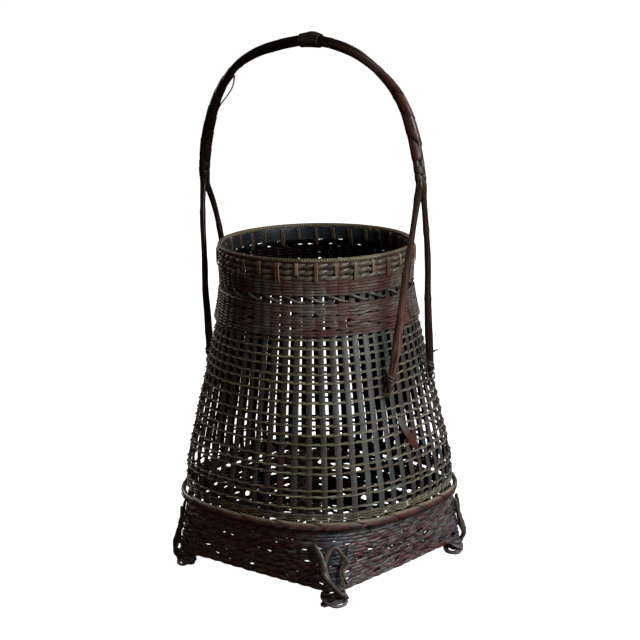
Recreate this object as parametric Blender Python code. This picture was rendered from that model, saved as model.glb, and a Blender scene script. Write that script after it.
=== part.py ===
# Woven flower basket: a square foot that opens into a round mouth, with a tall handle of two twisted vines.
# Lengths are in metres, +Z is up, the basket's axis is the Z axis, and the ground is at zero.
# The sides of the square foot are parallel to X and Y, and the handle runs from +X over the top to -X.

import math

import bmesh
import bpy
import numpy as np

MM = 0.001

# Between neighbouring pieces
CLEARANCE = 0.3 * MM

# The square foot
FOOT_HEIGHT = 13.2 * MM
FOOT_LENGTH = 25 * MM
FOOT_DEPTH = 14 * MM
FOOT_INSET = 1.7 * MM
BASE_HALF_WIDTH = 93 * MM
BASE_CORNER_RADIUS = 14 * MM
SKIRT_THICKNESS = 3 * MM
SKIRT_RIB_DEPTH = 1.2 * MM
FLOOR_THICKNESS = 2.5 * MM

# The wrapped hoop between the foot and the wall
HOOP_HEIGHT = 73 * MM
HOOP_THICKNESS = 5.6 * MM
HOOP_SIDES = 6
HOOP_WRAP_THICKNESS = 0.7 * MM
HOOP_WRAP_LOOPS = 22
HOOP_WRAP_COVER_SHARE = 0.93
HOOP_WRAP_END_SHARE = 0.15
HOOP_WRAP_STEPS = 6

# The wall of upright stakes
STAKE_COUNT = 56
STAKE_THICKNESS = 1.2 * MM
STAKE_WIDTH_AT_RIM = 5.6 * MM
STAKE_WIDTH_AT_SHOULDER = 5.8 * MM
STAKE_TOP = 300.5 * MM
STAKE_HEAD_HEIGHT = 4.5 * MM
SHOULDER_RADIUS = 123 * MM
NECK_RADIUS = 86.5 * MM
SHOULDER_FLATNESS_SHARE = 0.066
# Height from the wall's foot, radius from neck to shoulder, flatness of the sides
WALL_SHARES = (
    (0, 0.985, 1),
    (0.11, 1, 0.9),
    (0.3, 0.77, 0.95),
    (0.62, 0.29, 0.3),
    (0.86, 0, 0),
    (1, 0.06, 0),
)

# The thin rows woven through the open wall, from the top down, as heights above the shoulder hoop
ROW_HEIGHT = 2.2 * MM
ROW_THICKNESS = 2 * MM
ROW_TOP_LEVEL = 232.8 * MM
ROW_BOTTOM_LEVEL = 79.8 * MM
ROW_LEVEL_SHARES = (1, 0.951, 0.907, 0.859, 0.807, 0.761, 0.71, 0.65, 0.573, 0.52, 0.469, 0.419, 0.343, 0.292,
                    0.253, 0.16, 0.126, 0.058, 0)

# The close weaving of the neck, with a thick twisted row across it
LOWER_BAND_BOTTOM = 236 * MM
LOWER_BAND_TOP = 264.2 * MM
UPPER_BAND_BOTTOM = 272.4 * MM
UPPER_BAND_TOP = 283.2 * MM
BAND_THICKNESS = 2 * MM
TWIST_LEVEL = 268.3 * MM
TWIST_STRAND_RADIUS = 1.25 * MM
TWIST_STRAND_SPREAD = 1.75 * MM
TWIST_TURNS = 14
TWIST_STEPS_PER_TURN = 6
TWIST_STRAND_SIDES = 4

# The rim
RIM_ROW_LEVELS = (298.2 * MM, 292.6 * MM, 287 * MM)
RIM_ROW_HEIGHT = 3.8 * MM
RIM_ROW_THICKNESS = 2.6 * MM
RIM_STRIP_BOTTOM = 290.7 * MM
RIM_STRIP_THICKNESS = 1.2 * MM
TOP_HOOP_RADIUS = 87.8 * MM
TOP_HOOP_LEVEL = 303 * MM
TOP_HOOP_THICKNESS = 4 * MM
LASHING_LOOPS = 28
LASHING_WIDTH = 2.2 * MM
LASHING_THICKNESS = 0.9 * MM
LASHING_LONG_LEVEL = 284.15 * MM
LASHING_SHORT_LEVEL = 289.8 * MM
LASHING_RISE = 0.7 * MM
LASHING_POINTS_PER_LOOP = 5

# The handle: where its two forks are, its top, and the two vines that it is made of
ARCH_TOP = 486 * MM
RIGHT_FORK_ANGLE = math.radians(1.5)
RIGHT_FORK_REACH = 117.6 * MM
RIGHT_FORK_HEIGHT = 366 * MM
LEFT_FORK_ANGLE = math.radians(187.5)
LEFT_FORK_REACH = 122.3 * MM
LEFT_FORK_HEIGHT = 348 * MM
# Reach from the axis and rise from fork to top
RIGHT_ARCH_SHARES = (
    (1, 0), (0.983, 0.136), (0.947, 0.308), (0.889, 0.478), (0.822, 0.604),
    (0.714, 0.727), (0.545, 0.849), (0.36, 0.938), (0.17, 0.984),
)
LEFT_ARCH_SHARES = (
    (0.14, 0.989), (0.33, 0.952), (0.509, 0.898), (0.66, 0.822), (0.754, 0.74),
    (0.826, 0.656), (0.895, 0.533), (0.941, 0.409), (0.975, 0.285), (0.999, 0.12), (1, 0),
)
ARCH_STEPS = 30
ARCH_STEPS_BETWEEN_POINTS = 12
VINE_SIDES = 6
VINE_RADIUS = 2.3 * MM
LEG_RADIUS = 2.65 * MM
VINE_SPREAD = 2.47 * MM
TWIST_HALF_TURNS = 3
# Where each leg's lower end is, round from +X and upwards
LEG_ANGLES = {"right_front": math.radians(-13.4), "right_back": math.radians(21.5),
              "left_front": math.radians(201.5), "left_back": math.radians(172.5)}
LEG_END_HEIGHT = 183 * MM
LEG_STEP_SHARES = (0.1, 0.4, 0.72, 1)

# What is wound round the handle above each fork: first a close binding, then a long wrap
FORK_MARGIN = 4 * MM
WRAP_MARGIN = 6 * MM
BINDING_THICKNESS = 0.9 * MM
BINDING_COVER_SHARE = 0.78
RIGHT_BINDING_LENGTH = 16 * MM
RIGHT_BINDING_LOOPS = 5
LEFT_BINDING_LENGTH = 20 * MM
LEFT_BINDING_LOOPS = 6
HANDLE_WRAP_THICKNESS = 0.8 * MM
RIGHT_WRAP_LENGTH = 92 * MM
RIGHT_WRAP_LOOPS = 5
RIGHT_WRAP_COVER_SHARE = 0.75
LEFT_WRAP_LENGTH = 86 * MM
LEFT_WRAP_LOOPS = 7
LEFT_WRAP_COVER_SHARE = 0.82
TOP_SLEEVE_LENGTH = 21 * MM
TOP_SLEEVE_OFFSET = -9.4 * MM
TOP_SLEEVE_THICKNESS = 1.1 * MM
TOP_SLEEVE_SIDES = 12
# The ends of the sleeve and of its knot along its length
TOP_SLEEVE_SHARES = (-0.5, -0.3, 0.1, 0.5)
TOP_KNOT_HEIGHT = 1.3 * MM
WINDING_STEPS = 6

# The lashings that tie the legs to the wall
LEG_LASHING_WIDTH = 2 * MM
LEG_LASHING_THICKNESS = 0.8 * MM
LEG_LASHING_PASS_COUNT = 3

# Loose ends that the weaver left
TAIL_WIDTH = 5.5 * MM
TAIL_THICKNESS = 1 * MM
TAIL_TOP_ANGLE = math.radians(-10.4)
TAIL_TOP_LEVEL = 160 * MM
TAIL_BOTTOM_ANGLE = math.radians(-3.8)
TAIL_BOTTOM_LEVEL = 133 * MM
TAIL_POINTS = 4
LOOSE_STRIP_MARGIN = 4 * MM
LOOSE_STRIP_SPAN = 40 * MM
LOOSE_STRIP_SAG = 7 * MM
LOOSE_STRIP_WIDTH = 1.6 * MM
LOOSE_STRIP_THICKNESS = 0.8 * MM
LOOSE_STRIP_POINTS = 9

# The vine tied over each corner of the foot
TIE_WIDTH = 3.2 * MM
TIE_THICKNESS = 1.2 * MM
TIE_HALF_SPAN = 8.5 * MM
TIE_BOTTOM = 14.6 * MM
TIE_TOP = 58 * MM
TIE_BULGE = 8 * MM
# Sideways, upwards and outwards along the loop
TIE_SHARES = ((-0.75, 0, 0.1), (-0.3, 0.1, 0.3), (0.25, 0.26, 0.5), (0.85, 0.48, 0.75), (0.95, 0.7, 0.75),
              (0.6, 0.9, 0.4), (0, 1, 0.1), (-0.65, 0.9, 0.4), (-0.95, 0.7, 0.75), (-0.8, 0.48, 1),
              (-0.25, 0.28, 0.95), (0.35, 0.12, 0.6), (0.85, 0, 0.1))
TIE_STEPS_BETWEEN_POINTS = 2

# A foot is a squat knot: height and size of its outlines
FOOT_SHARES = ((0, 0.74), (0.22, 0.96), (0.6, 1), (1, 0.78))
FOOT_SIDES = 14

RING_STEPS = 32
BASE_SIDE_STEPS = 6
BASE_CORNER_SHARES = (-1, -0.5, 0, 0.5, 1)
BASE_EDGE_STEPS = 720
SKIRT_LEVEL_SHARES = (0, 0.5, 1)
SHARP_ANGLE = math.radians(40)
CORNER_ANGLES = {"front": -45, "right": 45, "back": 135, "left": 225}

# Colour and roughness of each kind of piece, all of it smoked and lacquered bamboo and vine
LOOKS = {
    "floor": ((0.05, 0.035, 0.03), 0.7),
    "skirt": ((0.06, 0.03, 0.025), 0.6),
    "hoop": ((0.16, 0.13, 0.09), 0.55),
    "hoop_wrap": ((0.09, 0.04, 0.03), 0.45),
    "stakes": ((0.11, 0.1, 0.09), 0.6),
    "row": ((0.15, 0.11, 0.08), 0.55),
    "neck": ((0.12, 0.09, 0.07), 0.55),
    "twist": ((0.14, 0.1, 0.07), 0.5),
    "rim": ((0.15, 0.11, 0.07), 0.5),
    "rim_lining": ((0.05, 0.06, 0.07), 0.45),
    "top_hoop": ((0.2, 0.14, 0.08), 0.5),
    "lashing": ((0.17, 0.12, 0.07), 0.5),
    "vine": ((0.1, 0.05, 0.04), 0.45),
    "handle_wrap": ((0.07, 0.035, 0.03), 0.5),
    "sleeve": ((0.1, 0.045, 0.035), 0.45),
    "tail": ((0.13, 0.06, 0.05), 0.5),
    "tie": ((0.09, 0.05, 0.04), 0.5),
    "foot": ((0.06, 0.035, 0.04), 0.5),
}


def clear_scene():
    for item in list(bpy.data.objects):
        bpy.data.objects.remove(item, do_unlink=True)


def make_material(name, look):
    colour, roughness = LOOKS[look]
    material = bpy.data.materials.new(name)
    material.use_nodes = True
    shader = material.node_tree.nodes["Principled BSDF"]
    shader.inputs["Base Color"].default_value = (*colour, 1)
    shader.inputs["Roughness"].default_value = roughness
    shader.inputs["Metallic"].default_value = 0
    material.diffuse_color = (*colour, 1)
    return material


def make_object(name, look, points, faces):
    mesh = bpy.data.meshes.new(name)
    mesh.from_pydata(points, [], faces)
    work = bmesh.new()
    work.from_mesh(mesh)
    bmesh.ops.recalc_face_normals(work, faces=work.faces)
    work.to_mesh(mesh)
    work.free()
    mesh.shade_smooth()
    mesh.set_sharp_from_angle(angle=SHARP_ANGLE)
    mesh.materials.append(make_material(name, look))
    bpy.context.collection.objects.link(bpy.data.objects.new(name, mesh))


# Joins neighbouring loops of points by faces.
# A closed row of loops ends on its start, and an open one gets flat ends.
def loft(name, look, loops, closed=False):
    loops = np.asarray(loops, float)
    rows, count = loops.shape[:2]
    faces = []
    for row in range(rows if closed else rows - 1):
        here = row * count
        there = (row + 1) % rows * count
        for index in range(count):
            following = (index + 1) % count
            faces.append((here + index, here + following, there + following, there + index))
    if not closed:
        faces.append(tuple(range(count)))
        faces.append(tuple(range((rows - 1) * count, rows * count)))
    make_object(name, look, loops.reshape(-1, 3).tolist(), faces)


# A smooth curve through the points, with the given number of steps in each span.
def smooth_curve(points, steps):
    points = np.asarray(points, float)
    padded = np.vstack([2 * points[0] - points[1], points, 2 * points[-1] - points[-2]])
    result = []
    for before, start, end, after in zip(padded, padded[1:], padded[2:], padded[3:]):
        for step in range(steps):
            t = step / steps
            result.append(0.5 * (2 * start + (end - before) * t
                                 + (2 * before - 5 * start + 4 * end - after) * t ** 2
                                 + (3 * start - before - 3 * end + after) * t ** 3))
    result.append(points[-1])
    return np.array(result)


def unit(vectors):
    return vectors / np.linalg.norm(vectors, axis=-1, keepdims=True)


# At each point, the direction midway between the steps before and after it.
def directions(path, closed=False):
    if closed:
        steps = unit(np.roll(path, -1, axis=0) - path)
        return unit(steps + np.roll(steps, 1, axis=0))
    steps = unit(np.diff(path, axis=0))
    return unit(np.vstack([steps[:1], steps[1:] + steps[:-1], steps[-1:]]))


def report_gap(name, gap):
    print(f"{name}: least gap to itself {gap / MM:.2f} mm")


# A flat strip along a path. The side vectors say which way its width lies.
def strip_loops(path, sides, width, thickness):
    along = directions(path)
    sides = unit(sides - along * np.sum(sides * along, axis=1, keepdims=True))
    out = np.cross(along, sides)
    bend = np.ones(len(path))
    steps = unit(np.diff(path, axis=0))
    cosines = np.clip(np.sum(steps[1:] * steps[:-1], axis=1), -1, 1)
    bend[1:-1] = 1 / np.sqrt((1 + cosines) / 2)
    half = sides * width / 2
    rise = out * (thickness / 2 * bend)[:, None]
    return np.stack([path - half - rise, path + half - rise, path + half + rise, path - half + rise], axis=1)


def round_loops(path, radii, sides, start_side):
    along = directions(path)
    side = np.asarray(start_side, float)
    loops = []
    angles = np.arange(sides) * 2 * math.pi / sides
    for point, direction, radius in zip(path, along, radii):
        side = unit(side - direction * np.dot(side, direction))
        up = np.cross(direction, side)
        loops.append(point + radius * (np.cos(angles)[:, None] * side + np.sin(angles)[:, None] * up))
    return loops


def polar(radius, angle, height):
    return np.stack(np.broadcast_arrays(radius * np.cos(angle), radius * np.sin(angle), height), axis=-1)


# A closed ring round the basket's axis. The section gives radii and heights for an angle.
def ring_loops(section, steps=RING_STEPS):
    loops = []
    for step in range(steps):
        angle = 2 * math.pi * step / steps
        loops.append([polar(radius, angle, height) for radius, height in section(angle)])
    return loops


# A ring of flat faces touches the circle inside it with the middles of its faces.
def corner_of(radius, steps=RING_STEPS):
    return radius / math.cos(math.pi / steps)


# The shoulder hoop sits on the skirt, inside its own wrapping, and the wall starts just above the skirt.
HOOP_SAG = SHOULDER_RADIUS * (1 - math.cos(math.pi / RING_STEPS))
WRAP_INNER = (HOOP_THICKNESS / 2 + CLEARANCE) / math.cos(math.pi / HOOP_WRAP_STEPS) + HOOP_SAG / 2
WRAP_OUTER = WRAP_INNER + HOOP_WRAP_THICKNESS
BASE_BOTTOM = FOOT_HEIGHT + CLEARANCE
SKIRT_TOP = HOOP_HEIGHT - WRAP_OUTER - CLEARANCE
WALL_BOTTOM = SKIRT_TOP + CLEARANCE


# Circle at zero flatness. The sides draw in as the flatness grows, and the corners stay.
def plan_share(angle, flatness):
    return 1 - flatness * (0.5 - 0.5 * np.cos(4 * (angle - math.pi / 4)))


def wall_knots():
    return [WALL_BOTTOM + share * (STAKE_TOP - WALL_BOTTOM) for share, _, _ in WALL_SHARES]


# The radius of the stakes' outer faces. It runs straight between the knots, as the stakes do.
def wall_radius(height, angle):
    radii = [(NECK_RADIUS + radius_share * (SHOULDER_RADIUS - NECK_RADIUS))
             * plan_share(angle, flat_share * SHOULDER_FLATNESS_SHARE)
             for _, radius_share, flat_share in WALL_SHARES]
    return float(np.interp(height, wall_knots(), radii))


# The widest radius that a ring between two heights has to pass.
def widest_wall(low, high, angle):
    return max(wall_radius(low, angle), wall_radius(high, angle))


# Distance from the axis to a square with rounded corners.
def square_radius(half_width, corner_radius, angle):
    across = max(abs(math.cos(angle)), abs(math.sin(angle)))
    along = min(abs(math.cos(angle)), abs(math.sin(angle)))
    straight = half_width - corner_radius
    if half_width * along / across <= straight:
        return half_width / across
    middle = straight * (across + along)
    return middle + math.sqrt(middle ** 2 - 2 * straight ** 2 + corner_radius ** 2)


# Angles round the square foot, closer together at its corners.
def base_angles():
    tangent = math.atan2(BASE_HALF_WIDTH - BASE_CORNER_RADIUS, BASE_HALF_WIDTH)
    corner = math.pi / 4 - tangent
    gap = math.pi / 2 - 2 * corner
    angles = []
    for quarter in range(4):
        middle = math.pi / 4 + quarter * math.pi / 2
        angles += [middle + corner * share for share in BASE_CORNER_SHARES]
        angles += [middle + corner + gap * step / BASE_SIDE_STEPS for step in range(1, BASE_SIDE_STEPS)]
    return angles


# Angles at even steps along the edge of the square foot, two for each stake: first a gap, then a stake.
def rib_angles():
    angles = np.arange(BASE_EDGE_STEPS + 1) * 2 * math.pi / BASE_EDGE_STEPS
    radii = np.array([square_radius(BASE_HALF_WIDTH, BASE_CORNER_RADIUS, angle) for angle in angles])
    edge = polar(radii, angles, 0)
    lengths = np.concatenate([[0], np.cumsum(np.linalg.norm(np.diff(edge, axis=0), axis=1))])
    steps = np.arange(2 * STAKE_COUNT) / (2 * STAKE_COUNT)
    return np.interp(steps * lengths[-1], lengths, angles)


def skirt_top_radius(angle):
    return wall_radius(WALL_BOTTOM, angle) + SKIRT_THICKNESS / 2


def skirt_outer_radius(height, angle):
    low = square_radius(BASE_HALF_WIDTH, BASE_CORNER_RADIUS, angle)
    share = (height - BASE_BOTTOM) / (SKIRT_TOP - BASE_BOTTOM)
    return low + share * (skirt_top_radius(angle) - low)


def make_floor():
    half = BASE_HALF_WIDTH - SKIRT_THICKNESS - 2 * CLEARANCE
    corner = BASE_CORNER_RADIUS - SKIRT_THICKNESS - 2 * CLEARANCE
    angles = base_angles()
    loops = [[polar(square_radius(half, corner, angle), angle, height) for angle in angles]
             for height in (BASE_BOTTOM, BASE_BOTTOM + FLOOR_THICKNESS)]
    loft("floor_mat", "floor", loops)


# The weaving bulges over each stake and draws in between two stakes, which gives upright ribs.
def make_skirt():
    loops = []
    inner_half = BASE_HALF_WIDTH - SKIRT_THICKNESS
    inner_corner = BASE_CORNER_RADIUS - SKIRT_THICKNESS
    levels = [(share, BASE_BOTTOM + share * (SKIRT_TOP - BASE_BOTTOM)) for share in SKIRT_LEVEL_SHARES]
    for number, angle in enumerate(rib_angles()):
        drawn_in = SKIRT_RIB_DEPTH if number % 2 == 0 else 0
        low_inner = square_radius(inner_half, inner_corner, angle)
        high_inner = skirt_top_radius(angle) - SKIRT_THICKNESS
        outer = [(skirt_outer_radius(height, angle) - drawn_in, height) for _, height in levels]
        inner = [(low_inner + share * (high_inner - low_inner), height) for share, height in levels]
        loops.append([polar(radius, angle, height) for radius, height in outer + inner[::-1]])
    loft("base_skirt", "skirt", loops, closed=True)


def hoop_centre_radius(angle):
    return wall_radius(HOOP_HEIGHT, angle) + CLEARANCE + HOOP_SAG / 2 + WRAP_OUTER


# The section of a round hoop whose middle lies at a reach and a height.
def hoop_section(reach, height, radius):
    turns = [2 * math.pi * step / HOOP_SIDES for step in range(HOOP_SIDES)]
    return [(reach + radius * math.cos(turn), height + radius * math.sin(turn)) for turn in turns]


def make_shoulder_hoop():
    loops = ring_loops(lambda angle: hoop_section(hoop_centre_radius(angle), HOOP_HEIGHT, HOOP_THICKNESS / 2))
    loft("shoulder_hoop", "hoop", loops, closed=True)


# A broad strip wound round the shoulder hoop. Its width lies along the hoop, so it bends with it.
def make_shoulder_wrap():
    steps = round((HOOP_WRAP_LOOPS - HOOP_WRAP_END_SHARE) * HOOP_WRAP_STEPS)
    pitch = 2 * math.pi / HOOP_WRAP_LOOPS
    loops = []
    for step in range(steps + 1):
        turn = step / HOOP_WRAP_STEPS
        loop = []
        for radius, shares in ((WRAP_INNER, (0, 0.5, 1)), (WRAP_OUTER, (1, 0.5, 0))):
            for share in shares:
                angle = pitch * (turn + share * HOOP_WRAP_COVER_SHARE)
                out = hoop_centre_radius(angle) + radius * math.cos(2 * math.pi * turn)
                loop.append(polar(out, angle, HOOP_HEIGHT - radius * math.sin(2 * math.pi * turn)))
        loops.append(loop)
    loops = np.array(loops)
    gaps = np.linalg.norm(loops[HOOP_WRAP_STEPS:, 0] - loops[:-HOOP_WRAP_STEPS, 2], axis=1)
    report_gap("shoulder_wrap", gaps.min())
    loft("shoulder_wrap", "hoop_wrap", loops)


# Where a stake's face is at a height, and which way its width and its thickness lie.
def stake_frame(height, angle):
    small = math.radians(0.5)
    before = polar(wall_radius(height, angle - small), angle - small, height)
    after = polar(wall_radius(height, angle + small), angle + small, height)
    side = unit(after - before)
    out = np.array((side[1], -side[0], 0))
    return polar(wall_radius(height, angle), angle, height), side, out


def stake_angle(number):
    return 2 * math.pi * (number + 0.5) / STAKE_COUNT


def gap_angle(number):
    return 2 * math.pi * number / STAKE_COUNT


# All the stakes hang from one thin ring at the rim, so that they are a single body.
def make_stake_cage():
    knots = wall_knots()
    heights = [STAKE_TOP, STAKE_TOP - STAKE_HEAD_HEIGHT] + knots[-2::-1]
    points = []
    faces = []
    per_stake = 4 * len(heights)
    for number in range(STAKE_COUNT):
        angle = stake_angle(number)
        for height in heights:
            centre, side, out = stake_frame(height, angle)
            share = (STAKE_TOP - height) / (STAKE_TOP - WALL_BOTTOM)
            width = STAKE_WIDTH_AT_RIM + share * (STAKE_WIDTH_AT_SHOULDER - STAKE_WIDTH_AT_RIM)
            for sign, depth in ((-1, 0), (1, 0), (1, 1), (-1, 1)):
                points.append(centre + side * sign * width / 2 - out * depth * STAKE_THICKNESS)
        here = number * per_stake
        there = (number + 1) % STAKE_COUNT * per_stake
        # The stake's own sides, below the ring, and its front and back across the ring
        for level in range(len(heights) - 1):
            for corner in ((0, 2) if level == 0 else range(4)):
                low = here + 4 * level + corner
                high = here + 4 * level + (corner + 1) % 4
                faces.append((low, high, high + 4, low + 4))
        faces.append((here, here + 1, here + 2, here + 3))
        last = here + per_stake - 4
        faces.append((last, last + 1, last + 2, last + 3))
        # The ring's piece between this stake and the next
        faces.append((here + 1, there, there + 4, here + 5))
        faces.append((here + 2, there + 3, there + 7, here + 6))
        faces.append((here + 1, there, there + 3, here + 2))
        faces.append((here + 5, there + 4, there + 7, here + 6))
    make_object("stake_cage", "stakes", [tuple(point) for point in points], faces)


def row_levels():
    return [ROW_BOTTOM_LEVEL + share * (ROW_TOP_LEVEL - ROW_BOTTOM_LEVEL) for share in ROW_LEVEL_SHARES]


def make_rows():
    for number, level in enumerate(row_levels(), start=1):
        low = level - ROW_HEIGHT / 2
        high = level + ROW_HEIGHT / 2

        def section(angle):
            inner = corner_of(widest_wall(low, high, angle) + CLEARANCE)
            return (inner, low), (inner + ROW_THICKNESS, level), (inner, high)

        loft(f"weaver_row_{number:02d}", "row", ring_loops(section), closed=True)


# A sleeve of close weaving that follows the stakes.
def make_band(name, low, high):
    def section(angle):
        low_inner = corner_of(wall_radius(low, angle) + CLEARANCE)
        high_inner = corner_of(wall_radius(high, angle) + CLEARANCE)
        return ((low_inner, low), (low_inner + BAND_THICKNESS, low), (high_inner + BAND_THICKNESS, high),
                (high_inner, high))

    loft(name, "neck", ring_loops(section), closed=True)


# Two thick strands that twist round each other all the way round the neck.
# Half a turn is two stakes long. It starts at a stake, so that the inner strand rests on one.
def make_neck_twist():
    steps = TWIST_TURNS * TWIST_STEPS_PER_TURN
    start = stake_angle(-1)
    angles = start + np.arange(steps) * 2 * math.pi / steps
    reach = TWIST_STRAND_SPREAD + TWIST_STRAND_RADIUS
    centre = widest_wall(TWIST_LEVEL - reach, TWIST_LEVEL + reach, 0) + CLEARANCE + reach
    corners = [2 * math.pi * (step + 0.5) / TWIST_STRAND_SIDES for step in range(TWIST_STRAND_SIDES)]
    for name, phase in (("neck_twist_strand_a", 0), ("neck_twist_strand_b", math.pi)):
        turns = TWIST_TURNS * (angles - start) + phase
        path = polar(centre + TWIST_STRAND_SPREAD * np.cos(turns), angles,
                     TWIST_LEVEL - TWIST_STRAND_SPREAD * np.sin(turns))
        along = directions(path, closed=True)
        out = polar(np.ones(steps), angles, 0)
        out = unit(out - along * np.sum(out * along, axis=1, keepdims=True))
        up = np.cross(along, out)
        loops = [[point + TWIST_STRAND_RADIUS * (math.cos(corner) * side + math.sin(corner) * rise)
                  for corner in corners] for point, side, rise in zip(path, out, up)]
        loft(name, "twist", loops, closed=True)


def make_rim_rows():
    for number, level in enumerate(RIM_ROW_LEVELS, start=1):
        low = level - RIM_ROW_HEIGHT / 2
        high = level + RIM_ROW_HEIGHT / 2

        def section(angle):
            inner = corner_of(widest_wall(low, high, angle) + CLEARANCE)
            outer = inner + RIM_ROW_THICKNESS
            return ((inner, low), (outer, level - RIM_ROW_HEIGHT / 4), (outer, level + RIM_ROW_HEIGHT / 4),
                    (inner, high))

        loft(f"rim_row_{number}", "rim", ring_loops(section), closed=True)


def rim_strip_inner(height, angle):
    return wall_radius(height, angle) - STAKE_THICKNESS - CLEARANCE - RIM_STRIP_THICKNESS


def make_rim_strip():
    high = STAKE_TOP - CLEARANCE

    def section(angle):
        low_inner = rim_strip_inner(RIM_STRIP_BOTTOM, angle)
        high_inner = rim_strip_inner(high, angle)
        return ((low_inner, RIM_STRIP_BOTTOM), (low_inner + RIM_STRIP_THICKNESS, RIM_STRIP_BOTTOM),
                (high_inner + RIM_STRIP_THICKNESS, high), (high_inner, high))

    loft("rim_inner_strip", "rim_lining", ring_loops(section), closed=True)


def make_top_hoop():
    loops = ring_loops(lambda angle: hoop_section(TOP_HOOP_RADIUS, TOP_HOOP_LEVEL, TOP_HOOP_THICKNESS / 2))
    loft("rim_top_hoop", "top_hoop", loops, closed=True)


# One strip lashes the whole rim.
# It runs up over the rows, over the hoop, slants down inside, and comes out between two stakes.
def make_rim_lashing():
    seat = CLEARANCE + LASHING_THICKNESS / 2
    widest_row = max(wall_radius(level - RIM_ROW_HEIGHT / 2, 0) for level in RIM_ROW_LEVELS)
    outer = corner_of(max(widest_row, wall_radius(STAKE_TOP, 0)) + CLEARANCE) + RIM_ROW_THICKNESS + seat
    inner = rim_strip_inner(RIM_STRIP_BOTTOM, 0) * math.cos(math.pi / RING_STEPS) - seat - CLEARANCE
    top = TOP_HOOP_LEVEL + TOP_HOOP_THICKNESS / 2 + seat + LASHING_RISE
    side = TOP_HOOP_LEVEL + LASHING_RISE
    path = []
    sides = []
    for loop in range(LASHING_LOOPS):
        here = gap_angle(2 * loop)
        there = gap_angle(2 * loop + 2)
        level = LASHING_LONG_LEVEL if loop % 2 == 0 else LASHING_SHORT_LEVEL
        next_level = LASHING_SHORT_LEVEL if loop % 2 == 0 else LASHING_LONG_LEVEL
        corners = (
            (outer, here, level),
            (outer, here, side),
            (TOP_HOOP_RADIUS, here, top),
            (inner, here, side),
            (inner, there, next_level),
        )
        for radius, angle, height in corners:
            path.append(polar(radius, angle, height))
            sides.append((-math.sin(angle), math.cos(angle), 0))
    path = np.array(path)
    pitches = np.linalg.norm(path[LASHING_POINTS_PER_LOOP:] - path[:-LASHING_POINTS_PER_LOOP], axis=1)
    report_gap("rim_lashing", pitches.min() - LASHING_WIDTH)
    loops = strip_loops(path, np.array(sides), LASHING_WIDTH, LASHING_THICKNESS)
    loft("rim_lashing", "lashing", loops)


# The middle line of the handle from the right fork over the top to the left fork.
def arch_curve():
    points = []
    for reach, rise in RIGHT_ARCH_SHARES:
        points.append(polar(RIGHT_FORK_REACH * reach, RIGHT_FORK_ANGLE,
                            RIGHT_FORK_HEIGHT + (ARCH_TOP - RIGHT_FORK_HEIGHT) * rise))
    points.append(polar(0, 0, ARCH_TOP))
    for reach, rise in LEFT_ARCH_SHARES:
        points.append(polar(LEFT_FORK_REACH * reach, LEFT_FORK_ANGLE,
                            LEFT_FORK_HEIGHT + (ARCH_TOP - LEFT_FORK_HEIGHT) * rise))
    curve = smooth_curve(points, ARCH_STEPS_BETWEEN_POINTS)
    lengths = np.concatenate([[0], np.cumsum(np.linalg.norm(np.diff(curve, axis=0), axis=1))])
    return curve, lengths


# Points along the arch, with the direction of the arch, its outward side and its flat side.
def arch_frame(places):
    curve, lengths = arch_curve()
    along_all = directions(curve)
    flat = unit(np.cross(curve[-1] - curve[0], (0, 0, 1)))
    points = np.stack([np.interp(places, lengths, curve[:, axis]) for axis in range(3)], axis=-1)
    along = unit(np.stack([np.interp(places, lengths, along_all[:, axis]) for axis in range(3)], axis=-1))
    out = unit(np.cross(np.broadcast_to(flat, along.shape), along))
    flat = np.cross(along, out)
    return points, along, out, flat


def leg_end(name):
    angle = LEG_ANGLES[name]
    reach = wall_radius(LEG_END_HEIGHT, angle) + 2 * CLEARANCE
    row = corner_of(reach) + ROW_THICKNESS + LEG_RADIUS
    return polar(row, angle, LEG_END_HEIGHT)


# Each vine starts at a leg on the right, winds round the other over the top and ends at a leg on the left.
def make_vine(name, sign, right_leg, left_leg):
    length = arch_curve()[1][-1]
    places = np.linspace(0, length, ARCH_STEPS + 1)
    points, _, out, flat = arch_frame(places)
    turns = TWIST_HALF_TURNS * math.pi * places / length
    arch = points + sign * VINE_SPREAD * (np.cos(turns)[:, None] * flat + np.sin(turns)[:, None] * out)
    steps = np.array(LEG_STEP_SHARES)[:, None]
    right = arch[0] + steps * (leg_end(right_leg) - arch[0])
    left = arch[-1] + steps * (leg_end(left_leg) - arch[-1])
    path = np.vstack([right[::-1], arch, left])
    grown = np.interp(LEG_STEP_SHARES, (0, LEG_STEP_SHARES[1]), (VINE_RADIUS, LEG_RADIUS))
    radii = np.concatenate([grown[::-1], np.full(len(arch), VINE_RADIUS), grown])
    loft(name, "vine", round_loops(path, radii, VINE_SIDES, (0, 1, 0)))


# A strip wound round both vines. Its width lies along the handle.
def make_winding(name, start, length, loops_wanted, cover_share, thickness):
    width = length * cover_share / (loops_wanted + cover_share)
    bundle = VINE_SPREAD + VINE_RADIUS + 2 * CLEARANCE
    inner = bundle / math.cos(math.pi / WINDING_STEPS)
    count = loops_wanted * WINDING_STEPS
    middles = np.linspace(start + width / 2, start + length - width / 2, count + 1)
    turns = np.arange(count + 1) * 2 * math.pi / WINDING_STEPS
    loops = []
    for place, turn in zip(middles, turns):
        points, _, out, flat = arch_frame(np.array([place - width / 2, place + width / 2]))
        arms = math.cos(turn) * flat + math.sin(turn) * out
        loops.append([points[0] + inner * arms[0], points[0] + (inner + thickness) * arms[0],
                      points[1] + (inner + thickness) * arms[1], points[1] + inner * arms[1]])
    loops = np.array(loops)
    gaps = np.linalg.norm(loops[WINDING_STEPS:, 0] - loops[:-WINDING_STEPS, 3], axis=1)
    report_gap(name, gaps.min())
    loft(name, "handle_wrap", loops)


def left_binding_start():
    return arch_curve()[1][-1] - FORK_MARGIN - LEFT_BINDING_LENGTH


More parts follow.
